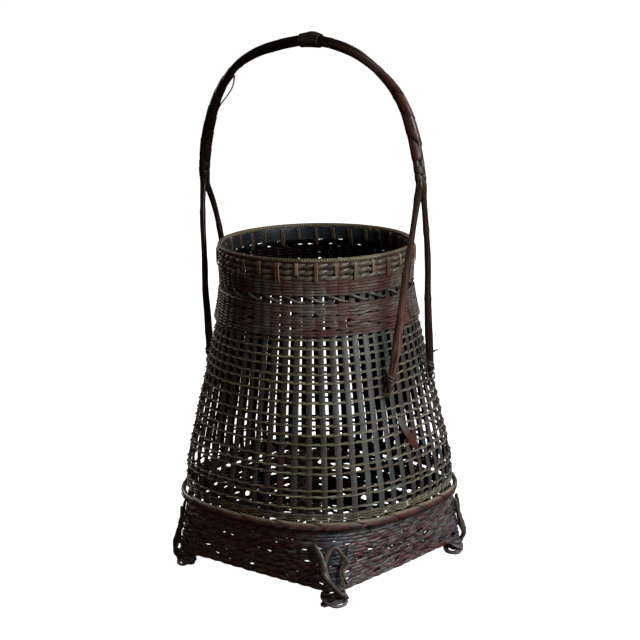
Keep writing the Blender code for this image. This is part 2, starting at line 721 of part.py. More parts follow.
def left_wrap_start():
    return left_binding_start() - WRAP_MARGIN - LEFT_WRAP_LENGTH


def make_windings():
    make_winding("right_fork_binding", FORK_MARGIN, RIGHT_BINDING_LENGTH, RIGHT_BINDING_LOOPS,
                 BINDING_COVER_SHARE, BINDING_THICKNESS)
    make_winding("right_handle_wrap", FORK_MARGIN + RIGHT_BINDING_LENGTH + WRAP_MARGIN, RIGHT_WRAP_LENGTH,
                 RIGHT_WRAP_LOOPS, RIGHT_WRAP_COVER_SHARE, HANDLE_WRAP_THICKNESS)
    make_winding("left_handle_wrap", left_wrap_start(), LEFT_WRAP_LENGTH, LEFT_WRAP_LOOPS,
                 LEFT_WRAP_COVER_SHARE, HANDLE_WRAP_THICKNESS)
    make_winding("left_fork_binding", left_binding_start(), LEFT_BINDING_LENGTH, LEFT_BINDING_LOOPS,
                 BINDING_COVER_SHARE, BINDING_THICKNESS)


# The broad band at the top of the handle, with the knot that closes it.
def make_top_sleeve():
    length = arch_curve()[1][-1]
    inner = (VINE_SPREAD + VINE_RADIUS + 2 * CLEARANCE) / math.cos(math.pi / TOP_SLEEVE_SIDES)
    places = length / 2 + TOP_SLEEVE_OFFSET + TOP_SLEEVE_LENGTH * np.array(TOP_SLEEVE_SHARES)
    points, _, out, flat = arch_frame(places)
    loops = []
    for step in range(TOP_SLEEVE_SIDES):
        turn = 2 * math.pi * step / TOP_SLEEVE_SIDES
        arms = math.cos(turn) * flat + math.sin(turn) * out
        knot = TOP_KNOT_HEIGHT * max(0, math.sin(turn)) ** 2
        rises = TOP_SLEEVE_THICKNESS + np.array((0, knot, knot, 0))
        inside = points + inner * arms
        outside = points + (inner + rises)[:, None] * arms
        loops.append(np.vstack([inside, outside[::-1]]))
    loft("handle_top_sleeve", "sleeve", loops, closed=True)


# The leg's middle line runs straight from its lower end to its place in the fork.
def leg_middle(leg, height):
    low = leg_end(leg)
    ends = arch_frame(np.array([0.0, arch_curve()[1][-1]]))
    index = 0 if leg.startswith("right") else 1
    sign = 1 if leg in ("right_back", "left_back") else -1
    high = ends[0][index] + sign * VINE_SPREAD * ends[3][index]
    return low + (height - low[2]) / (high[2] - low[2]) * (high - low)


# The gaps between woven rows that a leg's lashing goes through, from the leg's end upwards.
def lashing_heights():
    levels = row_levels()[::-1]
    middles = [(low + high) / 2 for low, high in zip(levels, levels[1:])]
    first = sum(middle < LEG_END_HEIGHT for middle in middles)
    first = min(first, len(middles) - LEG_LASHING_PASS_COUNT)
    return middles[first:first + LEG_LASHING_PASS_COUNT]


# Two turns round a leg and the stakes behind it.
# The strip slants across the leg and goes in and out between rows.
def make_leg_lashing(name, leg):
    heights = lashing_heights()
    seat = CLEARANCE + LEG_LASHING_THICKNESS / 2
    pitch = 2 * math.pi / STAKE_COUNT
    path = []
    for index, height in enumerate(heights):
        middle = leg_middle(leg, height)
        reach = float(np.linalg.norm(middle[:2]))
        angle = math.atan2(middle[1], middle[0])
        room = (LEG_RADIUS + seat + CLEARANCE) / reach
        before = pitch * math.floor((angle - room) / pitch)
        after = pitch * math.ceil((angle + room) / pitch)
        front = (reach + LEG_RADIUS + seat) / math.cos((after - before) / 2)
        back = (wall_radius(height, angle) - STAKE_THICKNESS - seat) - CLEARANCE
        if index > 0:
            path.append(polar(front, after, height))
        path.append(polar(back, after, height))
        if index < len(heights) - 1:
            path.append(polar(back, before, height))
            path.append(polar(front, before, height))
    sides = np.broadcast_to(np.array((0.0, 0, 1)), (len(path), 3))
    loops = strip_loops(np.array(path), sides, LEG_LASHING_WIDTH, LEG_LASHING_THICKNESS)
    report_gap(name, min(abs(high - low) for low, high in zip(heights, heights[1:])) / 2 - LEG_LASHING_WIDTH)
    loft(name, "lashing", loops)


# A broad end of strip tucked over the open wall.
def make_tucked_tail():
    steps = np.linspace(0, 1, TAIL_POINTS)
    path = []
    sides = []
    for step in steps:
        angle = TAIL_TOP_ANGLE + step * (TAIL_BOTTOM_ANGLE - TAIL_TOP_ANGLE)
        height = TAIL_TOP_LEVEL + step * (TAIL_BOTTOM_LEVEL - TAIL_TOP_LEVEL)
        surface = corner_of(wall_radius(height, angle) + 2 * CLEARANCE) + ROW_THICKNESS
        path.append(polar(surface + CLEARANCE + TAIL_THICKNESS / 2, angle, height))
        sides.append((-math.sin(angle), math.cos(angle), 0))
    loops = strip_loops(np.array(path), np.array(sides), TAIL_WIDTH, TAIL_THICKNESS)
    loft("tucked_tail", "tail", loops)


# A thin strip that has sprung loose from the inside of the handle and hangs in a bow.
def make_loose_strip():
    steps = np.linspace(0, 1, LOOSE_STRIP_POINTS)
    places = left_wrap_start() + LOOSE_STRIP_MARGIN + steps * LOOSE_STRIP_SPAN
    points, _, out, flat = arch_frame(places)
    wound = VINE_SPREAD + VINE_RADIUS + 2 * CLEARANCE + HANDLE_WRAP_THICKNESS
    depth = wound + CLEARANCE + LOOSE_STRIP_THICKNESS / 2 + LOOSE_STRIP_SAG * np.sin(math.pi * steps)
    path = points - out * depth[:, None]
    loft("loose_strip", "handle_wrap", strip_loops(path, flat, LOOSE_STRIP_WIDTH, LOOSE_STRIP_THICKNESS))


def make_foot(name, corner_angle):
    corner_reach = square_radius(BASE_HALF_WIDTH, BASE_CORNER_RADIUS, corner_angle)
    middle = polar(corner_reach - FOOT_INSET, corner_angle, 0)
    out = polar(1, corner_angle, 0)
    side = np.array((-out[1], out[0], 0))
    turns = np.arange(FOOT_SIDES)[:, None] * 2 * math.pi / FOOT_SIDES
    around = np.cos(turns) * side * FOOT_LENGTH / 2 + np.sin(turns) * out * FOOT_DEPTH / 2
    loops = [middle + size_share * around + np.array((0, 0, FOOT_HEIGHT * height_share))
             for height_share, size_share in FOOT_SHARES]
    loft(name, "foot", loops)


# A strip of vine looped over a corner of the foot, crossing itself above the foot.
def make_corner_tie(name, corner_angle):
    out = polar(1, corner_angle, 0)
    side = np.array((-out[1], out[0], 0))
    points = []
    for sideways, upwards, outwards in TIE_SHARES:
        height = TIE_BOTTOM + upwards * (TIE_TOP - TIE_BOTTOM)
        surface = skirt_outer_radius(height, corner_angle) + CLEARANCE + TIE_THICKNESS / 2
        points.append(out * (surface + TIE_BULGE * outwards) + side * TIE_HALF_SPAN * sideways
                      + np.array((0, 0, height)))
    path = smooth_curve(points, TIE_STEPS_BETWEEN_POINTS)
    sides = np.cross(directions(path), out)
    loft(name, "tie", strip_loops(path, sides, TIE_WIDTH, TIE_THICKNESS))


def build():
    clear_scene()
    make_floor()
    make_skirt()
    make_shoulder_hoop()
    make_shoulder_wrap()
    make_stake_cage()
    make_rows()
    make_band("lower_neck_weave", LOWER_BAND_BOTTOM, LOWER_BAND_TOP)
    make_neck_twist()
    make_band("upper_neck_weave", UPPER_BAND_BOTTOM, UPPER_BAND_TOP)
    make_rim_rows()
    make_rim_strip()
    make_top_hoop()
    make_rim_lashing()
    make_vine("handle_vine_a", 1, "right_back", "left_front")
    make_vine("handle_vine_b", -1, "right_front", "left_back")
    make_windings()
    make_top_sleeve()
    for leg in LEG_ANGLES:
        make_leg_lashing(f"{leg}_lashing", leg)
    make_tucked_tail()
    make_loose_strip()
    for corner, degrees in CORNER_ANGLES.items():
        make_foot(f"{corner}_foot", math.radians(degrees))
        make_corner_tie(f"{corner}_corner_tie", math.radians(degrees))


build()
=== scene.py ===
import math

import bpy
import numpy as np
from mathutils import Matrix


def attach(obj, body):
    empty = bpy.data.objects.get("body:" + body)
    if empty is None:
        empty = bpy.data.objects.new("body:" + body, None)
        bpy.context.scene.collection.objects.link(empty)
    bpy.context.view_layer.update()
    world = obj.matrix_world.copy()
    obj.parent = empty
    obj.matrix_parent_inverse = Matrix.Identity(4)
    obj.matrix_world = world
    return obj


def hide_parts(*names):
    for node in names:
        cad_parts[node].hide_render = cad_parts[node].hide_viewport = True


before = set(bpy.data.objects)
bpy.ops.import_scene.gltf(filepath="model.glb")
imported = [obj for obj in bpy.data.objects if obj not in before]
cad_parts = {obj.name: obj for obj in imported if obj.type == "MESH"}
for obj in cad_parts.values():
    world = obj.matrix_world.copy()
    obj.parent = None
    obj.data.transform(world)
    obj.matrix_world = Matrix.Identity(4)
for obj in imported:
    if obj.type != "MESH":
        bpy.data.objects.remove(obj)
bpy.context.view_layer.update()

# A smoked bamboo flower basket with a tall handle of twisted vines. Lengths below are in millimetres
# until makePiece turns them to metres. +Z is up, and the sides of the square foot lie along X and Y.
mm = 0.001
pi = math.pi
rng = np.random.default_rng(23)
print("frame loaded")


# Surfaces as whole arrays


def unit(vectors):
    return vectors / np.linalg.norm(vectors, axis=-1, keepdims=True)


def polar(radius, angle, height):
    return np.stack(np.broadcast_arrays(radius * np.cos(angle), radius * np.sin(angle), height), axis=-1)


# The direction at each point is the difference of its two neighbours, made one long.
def directions(path, closed):
    if closed:
        return unit(np.roll(path, -1, axis=1) - np.roll(path, 1, axis=1))
    return unit(np.gradient(path, axis=1))


# Cubic through the knots, with the slope at each knot taken from its neighbours.
def smoothValue(x, knots, values):
    knots = np.asarray(knots, float)
    values = np.asarray(values, float)
    slopes = np.gradient(values, knots)
    i = np.clip(np.searchsorted(knots, x) - 1, 0, len(knots) - 2)
    span = knots[i + 1] - knots[i]
    t = (x - knots[i]) / span
    return ((2 * t**3 - 3 * t**2 + 1) * values[i] + (t**3 - 2 * t**2 + t) * span * slopes[i]
            + (3 * t**2 - 2 * t**3) * values[i + 1] + (t**3 - t**2) * span * slopes[i + 1])


# Catmull-Rom curve: each span blends its two ends and their neighbours with cubic weights.
def smoothCurve(points, steps, closed=False):
    p = np.asarray(points, float)
    if closed:
        before, start, end, after = np.roll(p, 1, 0), p, np.roll(p, -1, 0), np.roll(p, -2, 0)
    else:
        padded = np.vstack([2 * p[0] - p[1], p, 2 * p[-1] - p[-2]])
        before, start, end, after = padded[:-3], padded[1:-2], padded[2:-1], padded[3:]
    t = (np.arange(steps) / steps)[None, :, None]
    b, s, e, a = (part[:, None, :] for part in (before, start, end, after))
    curve = 0.5 * (2 * s + (e - b) * t + (2 * b - 5 * s + 4 * e - a) * t**2
                   + (3 * s - b - 3 * e + a) * t**3).reshape(-1, p.shape[1])
    return curve if closed else np.vstack([curve, p[-1]])


# Random values at even places along x, joined by cosine steps.
def eased(values, x):
    i = np.clip(x.astype(int), 0, len(values) - 2)
    ease = 0.5 - 0.5 * np.cos(pi * (x - i))
    return values[i] * (1 - ease) + values[i + 1] * ease


# A smooth random ring function of the turns round the basket, counted in stakes.
def wander(turns, count, size):
    values = rng.uniform(-size, size, count)
    return eased(np.append(values, values[0]), np.mod(turns / stakeCount * count, count))


# The same along an open path, for places from 0 to 1.
def drift(places, count, size):
    return eased(rng.uniform(-size, size, count + 2), places * count)


# Even places round the basket: turns counted in stakes, and angles.
def roundBasket(steps):
    turns = np.arange(steps) / steps * stakeCount
    return turns, turns / stakeCount * 2 * pi


# Width and thickness along a path as the two columns that sweep reads.
def sizes(width, thickness):
    return np.stack(np.broadcast_arrays(width, thickness), axis=-1)


# A rod's outline: points on a circle one across. A strip's outline: a flat oblong one by one with a low crown.
def rodProfile(corners):
    turns = np.arange(corners) * 2 * pi / corners
    return 0.5 * np.stack([np.cos(turns), np.sin(turns)], axis=-1)


stripProfile = np.array([(-0.5, -0.3), (-0.3, -0.5), (0.3, -0.5), (0.5, -0.3),
                         (0.5, 0.15), (0.3, 0.44), (0, 0.5), (-0.3, 0.44), (-0.5, 0.15)])


# Painted shade on an outline's corners: 1 where it looks inwards into the shade, 0 on its lighter crown.
def innerShade(profile):
    return np.clip(0.5 - 3 * profile[:, 1], 0, 1)


# Carries a profile along paths: point = path + x * side + y * out for each corner (x, y) of the profile.
# side = outward x along and out = along x side, so the outline turns with the path.
def sweep(path, outward, profile, size, closed=False, turn=None):
    path = np.asarray(path, float)
    path = path[None] if path.ndim == 2 else path
    along = directions(path, closed)
    side = unit(np.cross(np.broadcast_to(outward, path.shape), along))
    out = np.cross(along, side)
    size = np.broadcast_to(np.asarray(size, float), path.shape[:2] + (2,))
    corners = profile * size[:, :, None, :]
    if turn is not None:
        cos, sin = np.cos(turn)[..., None], np.sin(turn)[..., None]
        corners = np.stack([corners[..., 0] * cos - corners[..., 1] * sin,
                            corners[..., 0] * sin + corners[..., 1] * cos], axis=-1)
    return (path[:, :, None, :] + corners[..., :1] * side[:, :, None, :]
            + corners[..., 1:] * out[:, :, None, :])


# A thick band from its inner and outer faces, each by step and place across.
def twoFaced(inside, outside):
    return np.concatenate([inside, outside[:, ::-1]], axis=1)


# Lengths along closed rings of points, summed from 0.
def lengthSums(points):
    lengths = np.linalg.norm(np.roll(points, -1, axis=1) - points, axis=-1)
    return np.concatenate([np.zeros((len(points), 1)), np.cumsum(lengths, 1)], 1)


# Faces of grids of points: each corner joins the next corner and the next ring, and open ends get flat caps.
# A grid whose volume comes out negative has its faces turned round.
def gridFaces(points, closed):
    paths, steps, corners = points.shape[:3]
    rings = steps if closed else steps - 1
    ring = np.arange(rings)[None, :, None]
    corner = np.arange(corners)[None, None, :]
    first = np.arange(paths)[:, None, None] * steps
    here = (first + ring) * corners
    there = (first + (ring + 1) % steps) * corners
    after = (corner + 1) % corners
    quads = np.stack([here + corner, here + after, there + after, there + corner], axis=-1)
    local = points - points.mean(axis=(1, 2), keepdims=True)
    a, d = local[:, :rings], np.roll(local, -1, axis=1)[:, :rings]
    b, c = np.roll(a, -1, axis=2), np.roll(d, -1, axis=2)
    volume = np.sum(a * np.cross(b, c) + a * np.cross(c, d), axis=(1, 2, 3))
    around = lengthSums(points[:, 0])
    place = lengthSums(points.mean(axis=2))[:, :rings + 1] + rng.uniform(0, 500, (paths, 1))
    u0, u1 = around[:, None, :-1], around[:, None, 1:]
    v0, v1 = place[:, :-1, None], place[:, 1:, None]
    uv = np.stack([np.stack(np.broadcast_arrays(u, v), axis=-1)
                   for u, v in ((u0, v0), (u1, v0), (u1, v1), (u0, v1))], axis=-2)
    wrong = volume < 0
    quads[wrong] = quads[wrong][..., ::-1]
    uv[wrong] = uv[wrong][..., ::-1, :]
    caps = np.zeros((0, corners), int)
    if not closed:
        base = first[:, 0, :] * corners
        start = base + np.arange(corners)[::-1]
        end = base + (steps - 1) * corners + np.arange(corners)
        start[wrong], end[wrong] = start[wrong][:, ::-1], end[wrong][:, ::-1]
        caps = np.concatenate([start, end])
    return quads.reshape(-1, 4), caps, uv.reshape(-1, 2)


# Links an object into the scene. A camera or lamp also gets its axes and place in metres.
def addObject(name, data, axes=None, place=None):
    thing = bpy.data.objects.new(name, data)
    bpy.context.scene.collection.objects.link(thing)
    if axes is not None:
        matrix = np.eye(4)
        matrix[:3, :3], matrix[:3, 3] = axes, place
        thing.matrix_world = Matrix(matrix.tolist())
    return thing


# Joins grids into one mesh. Each grid is (points, closed) or (points, closed, shading), with points by path, step
# and corner. "strand" keeps three random shares of each length of strand for its material, and the shading
# attribute is painted shade: how black each corner is painted as shade, or below 0 how far the lighter wear colour
# shows, which is wear on some pieces and a painted highlight on others. A ring is woven from several lengths.
def makePiece(name, grids, material, nodes, sharpAngle=50):
    coords, loops, totals, uvs, strands, shadeAndWearLists = [], [], [], [], [], []
    count = 0
    for points, closed, *shadeAndWear in grids:
        points = points[None] if points.ndim == 3 else points
        quads, caps, uv = gridFaces(points, closed)
        coords.append(points.reshape(-1, 3))
        loops += [(quads + count).ravel(), (caps + count).ravel()]
        totals += [np.full(len(quads), 4), np.full(len(caps), caps.shape[1])]
        uvs += [uv, np.zeros((caps.size, 2))]
        paths, steps, sides = points.shape[:3]
        lengths = 7 if closed and steps > 200 else 1
        shares = rng.uniform(0, 1, (paths, lengths, 3))
        place = np.arange(steps)[None] / steps * lengths + rng.uniform(0, 1, (paths, 1))
        shares = np.take_along_axis(shares, (place.astype(int) % lengths)[..., None], axis=1)
        strands.append(np.repeat(shares.reshape(-1, 3), sides, axis=0))
        shadeAndWearLists.append(np.broadcast_to(shadeAndWear[0] if shadeAndWear else 0.0, (paths, steps, sides)).ravel())
        count += paths * steps * sides
    coords, loops, totals = np.concatenate(coords) * mm, np.concatenate(loops), np.concatenate(totals)
    mesh = bpy.data.meshes.new(name)
    mesh.vertices.add(len(coords))
    mesh.vertices.foreach_set("co", coords.ravel())
    mesh.loops.add(len(loops))
    mesh.loops.foreach_set("vertex_index", loops)
    mesh.polygons.add(len(totals))
    mesh.polygons.foreach_set("loop_start", np.concatenate([[0], np.cumsum(totals)[:-1]]))
    layer = mesh.uv_layers.new(name="strandUv")
    layer.uv.foreach_set("vector", (np.concatenate(uvs) * mm).ravel().astype(np.float32))
    for key, kind, field, values in (("strand", "FLOAT_VECTOR", "vector", strands), ("shadeAndWear", "FLOAT", "value", shadeAndWearLists)):
        data = mesh.attributes.new(key, kind, "POINT").data
        data.foreach_set(field, np.concatenate(values).ravel().astype(np.float32))
    mesh.update(calc_edges=True)
    mesh.validate()
    mesh.shade_smooth()
    mesh.set_sharp_from_angle(angle=math.radians(sharpAngle))
    mesh.materials.append(material)
    piece = addObject(name, mesh)
    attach(piece, "root")
    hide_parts(*nodes)


# Materials


# sRGB hex to linear red, green, blue and one.
def linear(hexColour):
    values = [int(hexColour[i:i + 2], 16) / 255 for i in (0, 2, 4)]
    return [v / 12.92 if v <= 0.04045 else ((v + 0.055) / 1.055) ** 2.4 for v in values] + [1]


# Adds one node and gives one output. Inputs are constants, or outputs of other nodes, which are linked.
def addNode(tree, kind, inputs=None, out=0, **settings):
    node = tree.nodes.new("ShaderNode" + kind)
    for key, value in settings.items():
        setattr(node, key, value)
    for socket, value in (inputs or {}).items():
        if isinstance(value, bpy.types.NodeSocket):
            tree.links.new(value, node.inputs[socket])
        else:
            node.inputs[socket].default_value = value
    return node.outputs[out] if node.outputs else None


# Smoked and lacquered bamboo, cane or vine. Long fibres run along each strand, every strand has its own
# tone, patches of redder lacquer lie across neighbouring strands, and the shading attribute paints shade
# black into seams, undersides and insides. Where it is below 0 the lighter wear colour shows, as wear and as
# painted highlights.
def fibreMaterial(name, dark, light, red, cool=None, wearAndHighlight=None, redShare=0.4, coolShare=0.5, toneShare=0.5,
                  redApart=0.35, fibreWidth=0.5, fibreLength=30, patchSize=30, roughness=(0.3, 0.5), depth=0.12,
                  coat=0.0):
    material = bpy.data.materials.new(name)
    material.use_nodes = True
    tree = material.node_tree
    tree.nodes.clear()
    place = addNode(tree, "TexCoord", out="Object")
    strand = addNode(tree, "Attribute", out="Vector", attribute_name="strand")
    shares = addNode(tree, "SeparateXYZ", {0: strand}).node.outputs
    shadeAndWear = addNode(tree, "Attribute", out="Fac", attribute_name="shadeAndWear")
    uv = addNode(tree, "UVMap", uv_map="strandUv")
    scale = (1 / (fibreWidth * mm), 1 / (fibreLength * mm), 1)
    stretched = addNode(tree, "Mapping", {"Vector": uv, "Scale": scale})
    apart = addNode(tree, "VectorMath", {0: strand, 1: (53, 31, 17)}, operation="MULTIPLY")
    own = addNode(tree, "VectorMath", {0: stretched, 1: apart}, operation="ADD")
    fibre = addNode(tree, "TexNoise", {"Vector": own, "Scale": 1.0, "Detail": 3.0, "Roughness": 0.6}, "Fac")
    patch = addNode(tree, "TexNoise", {"Vector": place, "Scale": 1 / (patchSize * mm), "Detail": 3.0,
                                       "Roughness": 0.65}, "Fac")
    tone = addNode(tree, "MapRange", {"Value": shares[0], "To Min": 0.5 - toneShare / 2,
                                      "To Max": 0.5 + toneShare / 2})
    contrast = addNode(tree, "MapRange", {"Value": fibre, "From Min": 0.3, "From Max": 0.7, "To Min": -0.3,
                                          "To Max": 0.3})
    lit = addNode(tree, "Math", {0: tone, 1: contrast}, operation="ADD", use_clamp=True)
    colour = addNode(tree, "Mix", {0: lit, 6: linear(dark), 7: linear(light)}, 2, data_type="RGBA")
    if cool:
        away = addNode(tree, "VectorMath", {0: place, 1: (3.1, 1.7, 0.9)}, operation="ADD")
        mist = addNode(tree, "TexNoise", {"Vector": away, "Scale": 0.7 / (patchSize * mm), "Detail": 2.0}, "Fac")
        cooled = addNode(tree, "MapRange", {"Value": mist, "From Min": 0.45, "From Max": 0.6, "To Max": coolShare})
        colour = addNode(tree, "Mix", {0: cooled, 6: colour, 7: linear(cool)}, 2, data_type="RGBA")
    ownRed = addNode(tree, "MapRange", {"Value": shares[1], "To Min": 0.18 - redApart / 2,
                                        "To Max": 0.18 + redApart / 2})
    redTint = addNode(tree, "Math", {0: ownRed, 1: patch}, operation="ADD")
    reddened = addNode(tree, "MapRange", {"Value": redTint, "From Min": 0.58, "From Max": 0.78, "To Max": redShare})
    colour = addNode(tree, "Mix", {0: reddened, 6: colour, 7: linear(red)}, 2, data_type="RGBA")
    # Below 0 the shading attribute brings in the lighter wear colour in fibre streaks: wear, and on some pieces painted
    # highlights.
    if wearAndHighlight:
        wearAndHighlightShare = addNode(tree, "MapRange", {"Value": shadeAndWear, "From Max": -1.0})
        streak = addNode(tree, "MapRange", {"Value": fibre, "From Min": 0.36, "From Max": 0.56})
        wornAndSheen = addNode(tree, "Mix", {0: streak, 6: linear(dark), 7: linear(wearAndHighlight)}, 2, data_type="RGBA")
        colour = addNode(tree, "Mix", {0: wearAndHighlightShare, 6: colour, 7: wornAndSheen}, 2, data_type="RGBA")
    # Painted shade: the shading attribute mixes the colour towards black.
    colour = addNode(tree, "Mix", {0: shadeAndWear, 6: colour, 7: linear("050404")}, 2, data_type="RGBA")
    dull = addNode(tree, "MapRange", {"Value": fibre, "From Min": 0.3, "From Max": 0.7, "To Min": roughness[0],
                                      "To Max": roughness[1]})
    relief = addNode(tree, "Bump", {"Height": fibre, "Strength": 0.6, "Distance": depth * mm})
    # Where shade is painted the specular level drops as well, so painted shade shows no reflections.
    shine = addNode(tree, "MapRange", {"Value": shadeAndWear, "To Min": 0.5, "To Max": 0.02})
    shader = addNode(tree, "BsdfPrincipled", {"Base Color": colour, "Roughness": dull, "Normal": relief,
                                              "Specular IOR Level": shine, "Coat Weight": coat,
                                              "Coat Roughness": 0.25})
    addNode(tree, "OutputMaterial", {"Surface": shader})
    return material


# Split bamboo, smoked and lacquered: a dull slate-grey face with long fibres
stakeBamboo = fibreMaterial("smokedSplitBambooStake", "151313", "5f5d5a", "43201e", cool="3d464c", redShare=0.6,
                            patchSize=45, fibreLength=60, roughness=(0.35, 0.6), coat=0.1)
# Twined cane skin: tan to khaki threads over the dark wall, lighter on the crown because painted shade darkens the
# undersides
wovenCane = fibreMaterial("twinedCaneSkin", "3a3127", "b3a98e", "5e3026", cool="6e7562", redShare=0.35,
                          patchSize=40, roughness=(0.32, 0.55))
neckCane = fibreMaterial("closeTwinedCane", "241814", "968779", "5c2f2b", cool="5c5e56", redShare=0.8,
                         toneShare=0.4, redApart=0.08, patchSize=45, roughness=(0.28, 0.5))
rimCane = fibreMaterial("peeledRimCane", "221a15", "857866", "53331f", fibreWidth=0.7)
boundCane = fibreMaterial("finelyBoundRimCane", "3e3328", "94866b", "5e4030", roughness=(0.35, 0.5))
lashCane = fibreMaterial("splitCaneLashing", "38281d", "9a7f62", "6b3a2a", redShare=0.6, roughness=(0.3, 0.45))
hoopCane = fibreMaterial("wholeHoopCane", "35321f", "77735a", "4c4030", redShare=0.2, roughness=(0.3, 0.45))
# Broad bamboo strip with thick brown lacquer; the olive tan along its upper edge is a painted highlight
lacqueredStrip = fibreMaterial("lacqueredBroadStrip", "14100f", "61544f", "6a2e28", cool="30323a", wearAndHighlight="a08e70",
                               redShare=0.8, coolShare=0.7, redApart=0.6, patchSize=9, fibreWidth=0.8,
                               roughness=(0.35, 0.6), depth=0.3)
# Skirt weavers: nearly black lacquer with rubbed red places; the blue-grey along the corners is wear with a painted
# sheen
skirtCane = fibreMaterial("lacqueredSkirtCane", "1c1718", "8c8480", "6e2a28", cool="3a424e", wearAndHighlight="566472",
                          redShare=0.55, coolShare=0.5, toneShare=0.9, redApart=0.4, patchSize=12, fibreLength=9,
                          roughness=(0.32, 0.55))
liningStrip = fibreMaterial("dyedLiningStrip", "0c0e12", "282d34", "1c1a1c", redShare=0.1, roughness=(0.22, 0.35))
# Wild vine bark, ridged lengthwise; its lighter brown streaks paint highlights on the lower right front leg
vineBark = fibreMaterial("vineBarkWornAndLit", "120d0b", "5c5046", "502a20", wearAndHighlight="8a6052", redShare=0.45,
                         toneShare=0.3, fibreWidth=0.9, fibreLength=25, patchSize=30, roughness=(0.2, 0.4),
                         depth=0.3)
tieVine = fibreMaterial("peeledTieVine", "1d1613", "7c6d61", "572c24", wearAndHighlight="858c80", toneShare=0.8,
                        fibreWidth=0.9, patchSize=20, depth=0.25)
tailStrip = fibreMaterial("splitTailStrip", "2c1411", "6c3c32", "5e261e", wearAndHighlight="777d78", redShare=0.5,
                          depth=0.25)
footVine = fibreMaterial("knottedFootVine", "222124", "a39ca0", "6e3a3c", cool="565d66", redShare=0.35,
                         fibreWidth=0.9, patchSize=10, depth=0.25)
wrapStrip = fibreMaterial("smokedHandleStrip", "130d09", "5a4834", "52241c", redShare=0.7, toneShare=0.4,
                          fibreWidth=0.8, patchSize=22, roughness=(0.32, 0.52), depth=0.2)
floorBamboo = fibreMaterial("plaitedFloorBamboo", "110d0b", "342c28", "2a1612", roughness=(0.4, 0.6))
print("materials made")


# The basket's surface

stakeCount = 56
wall = {
    "bottom": 68.424, "top": 300.5, "neck": 86.5, "shoulder": 123.0, "flatness": 0.066,
    "heights": (0, 0.11, 0.3, 0.62, 0.86, 1),
    "radii": (0.985, 1, 0.77, 0.29, 0, 0.06),
    "flats": (1, 0.9, 0.95, 0.3, 0, 0),
}
foot = {"bottom": 13.5, "halfWidth": 96.0, "cornerRadius": 10.0, "topProud": 0.4}

wallHeights = wall["bottom"] + np.array(wall["heights"]) * (wall["top"] - wall["bottom"])
wallRadii = wall["neck"] + np.array(wall["radii"]) * (wall["shoulder"] - wall["neck"])
wallFlats = wallRadii * np.array(wall["flats"]) * wall["flatness"]


# Radius of the stakes' outer faces: a smooth profile, drawn in on the four sides by its share of flatness.
def wallRadius(height, angle):
    drawnIn = 0.5 - 0.5 * np.cos(4 * (angle - pi / 4))
    return smoothValue(height, wallHeights, wallRadii) - smoothValue(height, wallHeights, wallFlats) * drawnIn


# Table of the square foot's edge by length: distance to a square with round corners for every angle.
def squareEdgeTable(halfWidth, cornerRadius):
    angle = np.linspace(0, 2 * pi, 2881)
    across = np.maximum(abs(np.cos(angle)), abs(np.sin(angle)))
    along = np.minimum(abs(np.cos(angle)), abs(np.sin(angle)))
    straight = halfWidth - cornerRadius
    middle = straight * (across + along)
    curved = middle + np.sqrt(np.maximum(middle**2 - 2 * straight**2 + cornerRadius**2, 0))
    radius = np.where(halfWidth * along / across <= straight, halfWidth / across, curved)
    edge = polar(radius, angle, 0)[:, :2]
    length = np.concatenate([[0], np.cumsum(np.linalg.norm(np.diff(edge, axis=0), axis=1))])
    return length / length[-1] * stakeCount, edge, length[-1]


edgeTurns, edgePoints, edgeLength = squareEdgeTable(foot["halfWidth"], foot["cornerRadius"])


# A place on the stakes' outer faces. Turns count stakes round from +X. Above the shoulder it lies on the
# wall, and below on the straight line from the shoulder to the square's edge.
def surfacePoint(turns, height):
    turns, height = np.broadcast_arrays(np.asarray(turns, float), np.asarray(height, float))
    angle = 2 * pi * turns / stakeCount
    top = wall["bottom"]
    onWall = polar(wallRadius(np.maximum(height, top), angle), angle, height)
    share = np.clip((height - foot["bottom"]) / (top - foot["bottom"]), 0, 1)[..., None]
    place = np.mod(turns, stakeCount)
    low = np.stack([np.interp(place, edgeTurns, edgePoints[:, k]) for k in range(2)], axis=-1)
    high = polar(wallRadius(top, angle) + foot["topProud"], angle, 0)[..., :2]
    below = np.concatenate([low + share * (high - low), height[..., None]], axis=-1)
    return np.where((height < top)[..., None], below, onWall)


def surfaceOut(turns, height):
    step = surfacePoint(turns + 0.05, height) - surfacePoint(turns - 0.05, height)
    return unit(np.stack([step[..., 1], -step[..., 0], 0 * step[..., 0]], axis=-1))


# Stakes

stakes = {"thickness": 1.2, "rimWidth": 5.6, "shoulderWidth": 5.8, "wander": 0.04, "widthChange": 0.06, "steps": 56,
          "top": 301.0,
          "unevenAt": (55, 90, 150, 178, 210, 235), "uneven": (0, -0.22, -0.22, 0.2, 0.2, 0)}


# Upright strips whose outer faces lie on the basket's surface: path = surface - out * thickness / 2.
def uprights(turns, heights, width):
    turns, heights = np.broadcast_arrays(turns, heights)
    out = surfaceOut(turns, heights)
    path = surfacePoint(turns, heights) - out * stakes["thickness"] / 2
    return sweep(path, out, stripProfile, sizes(width, stakes["thickness"] + 0 * turns))


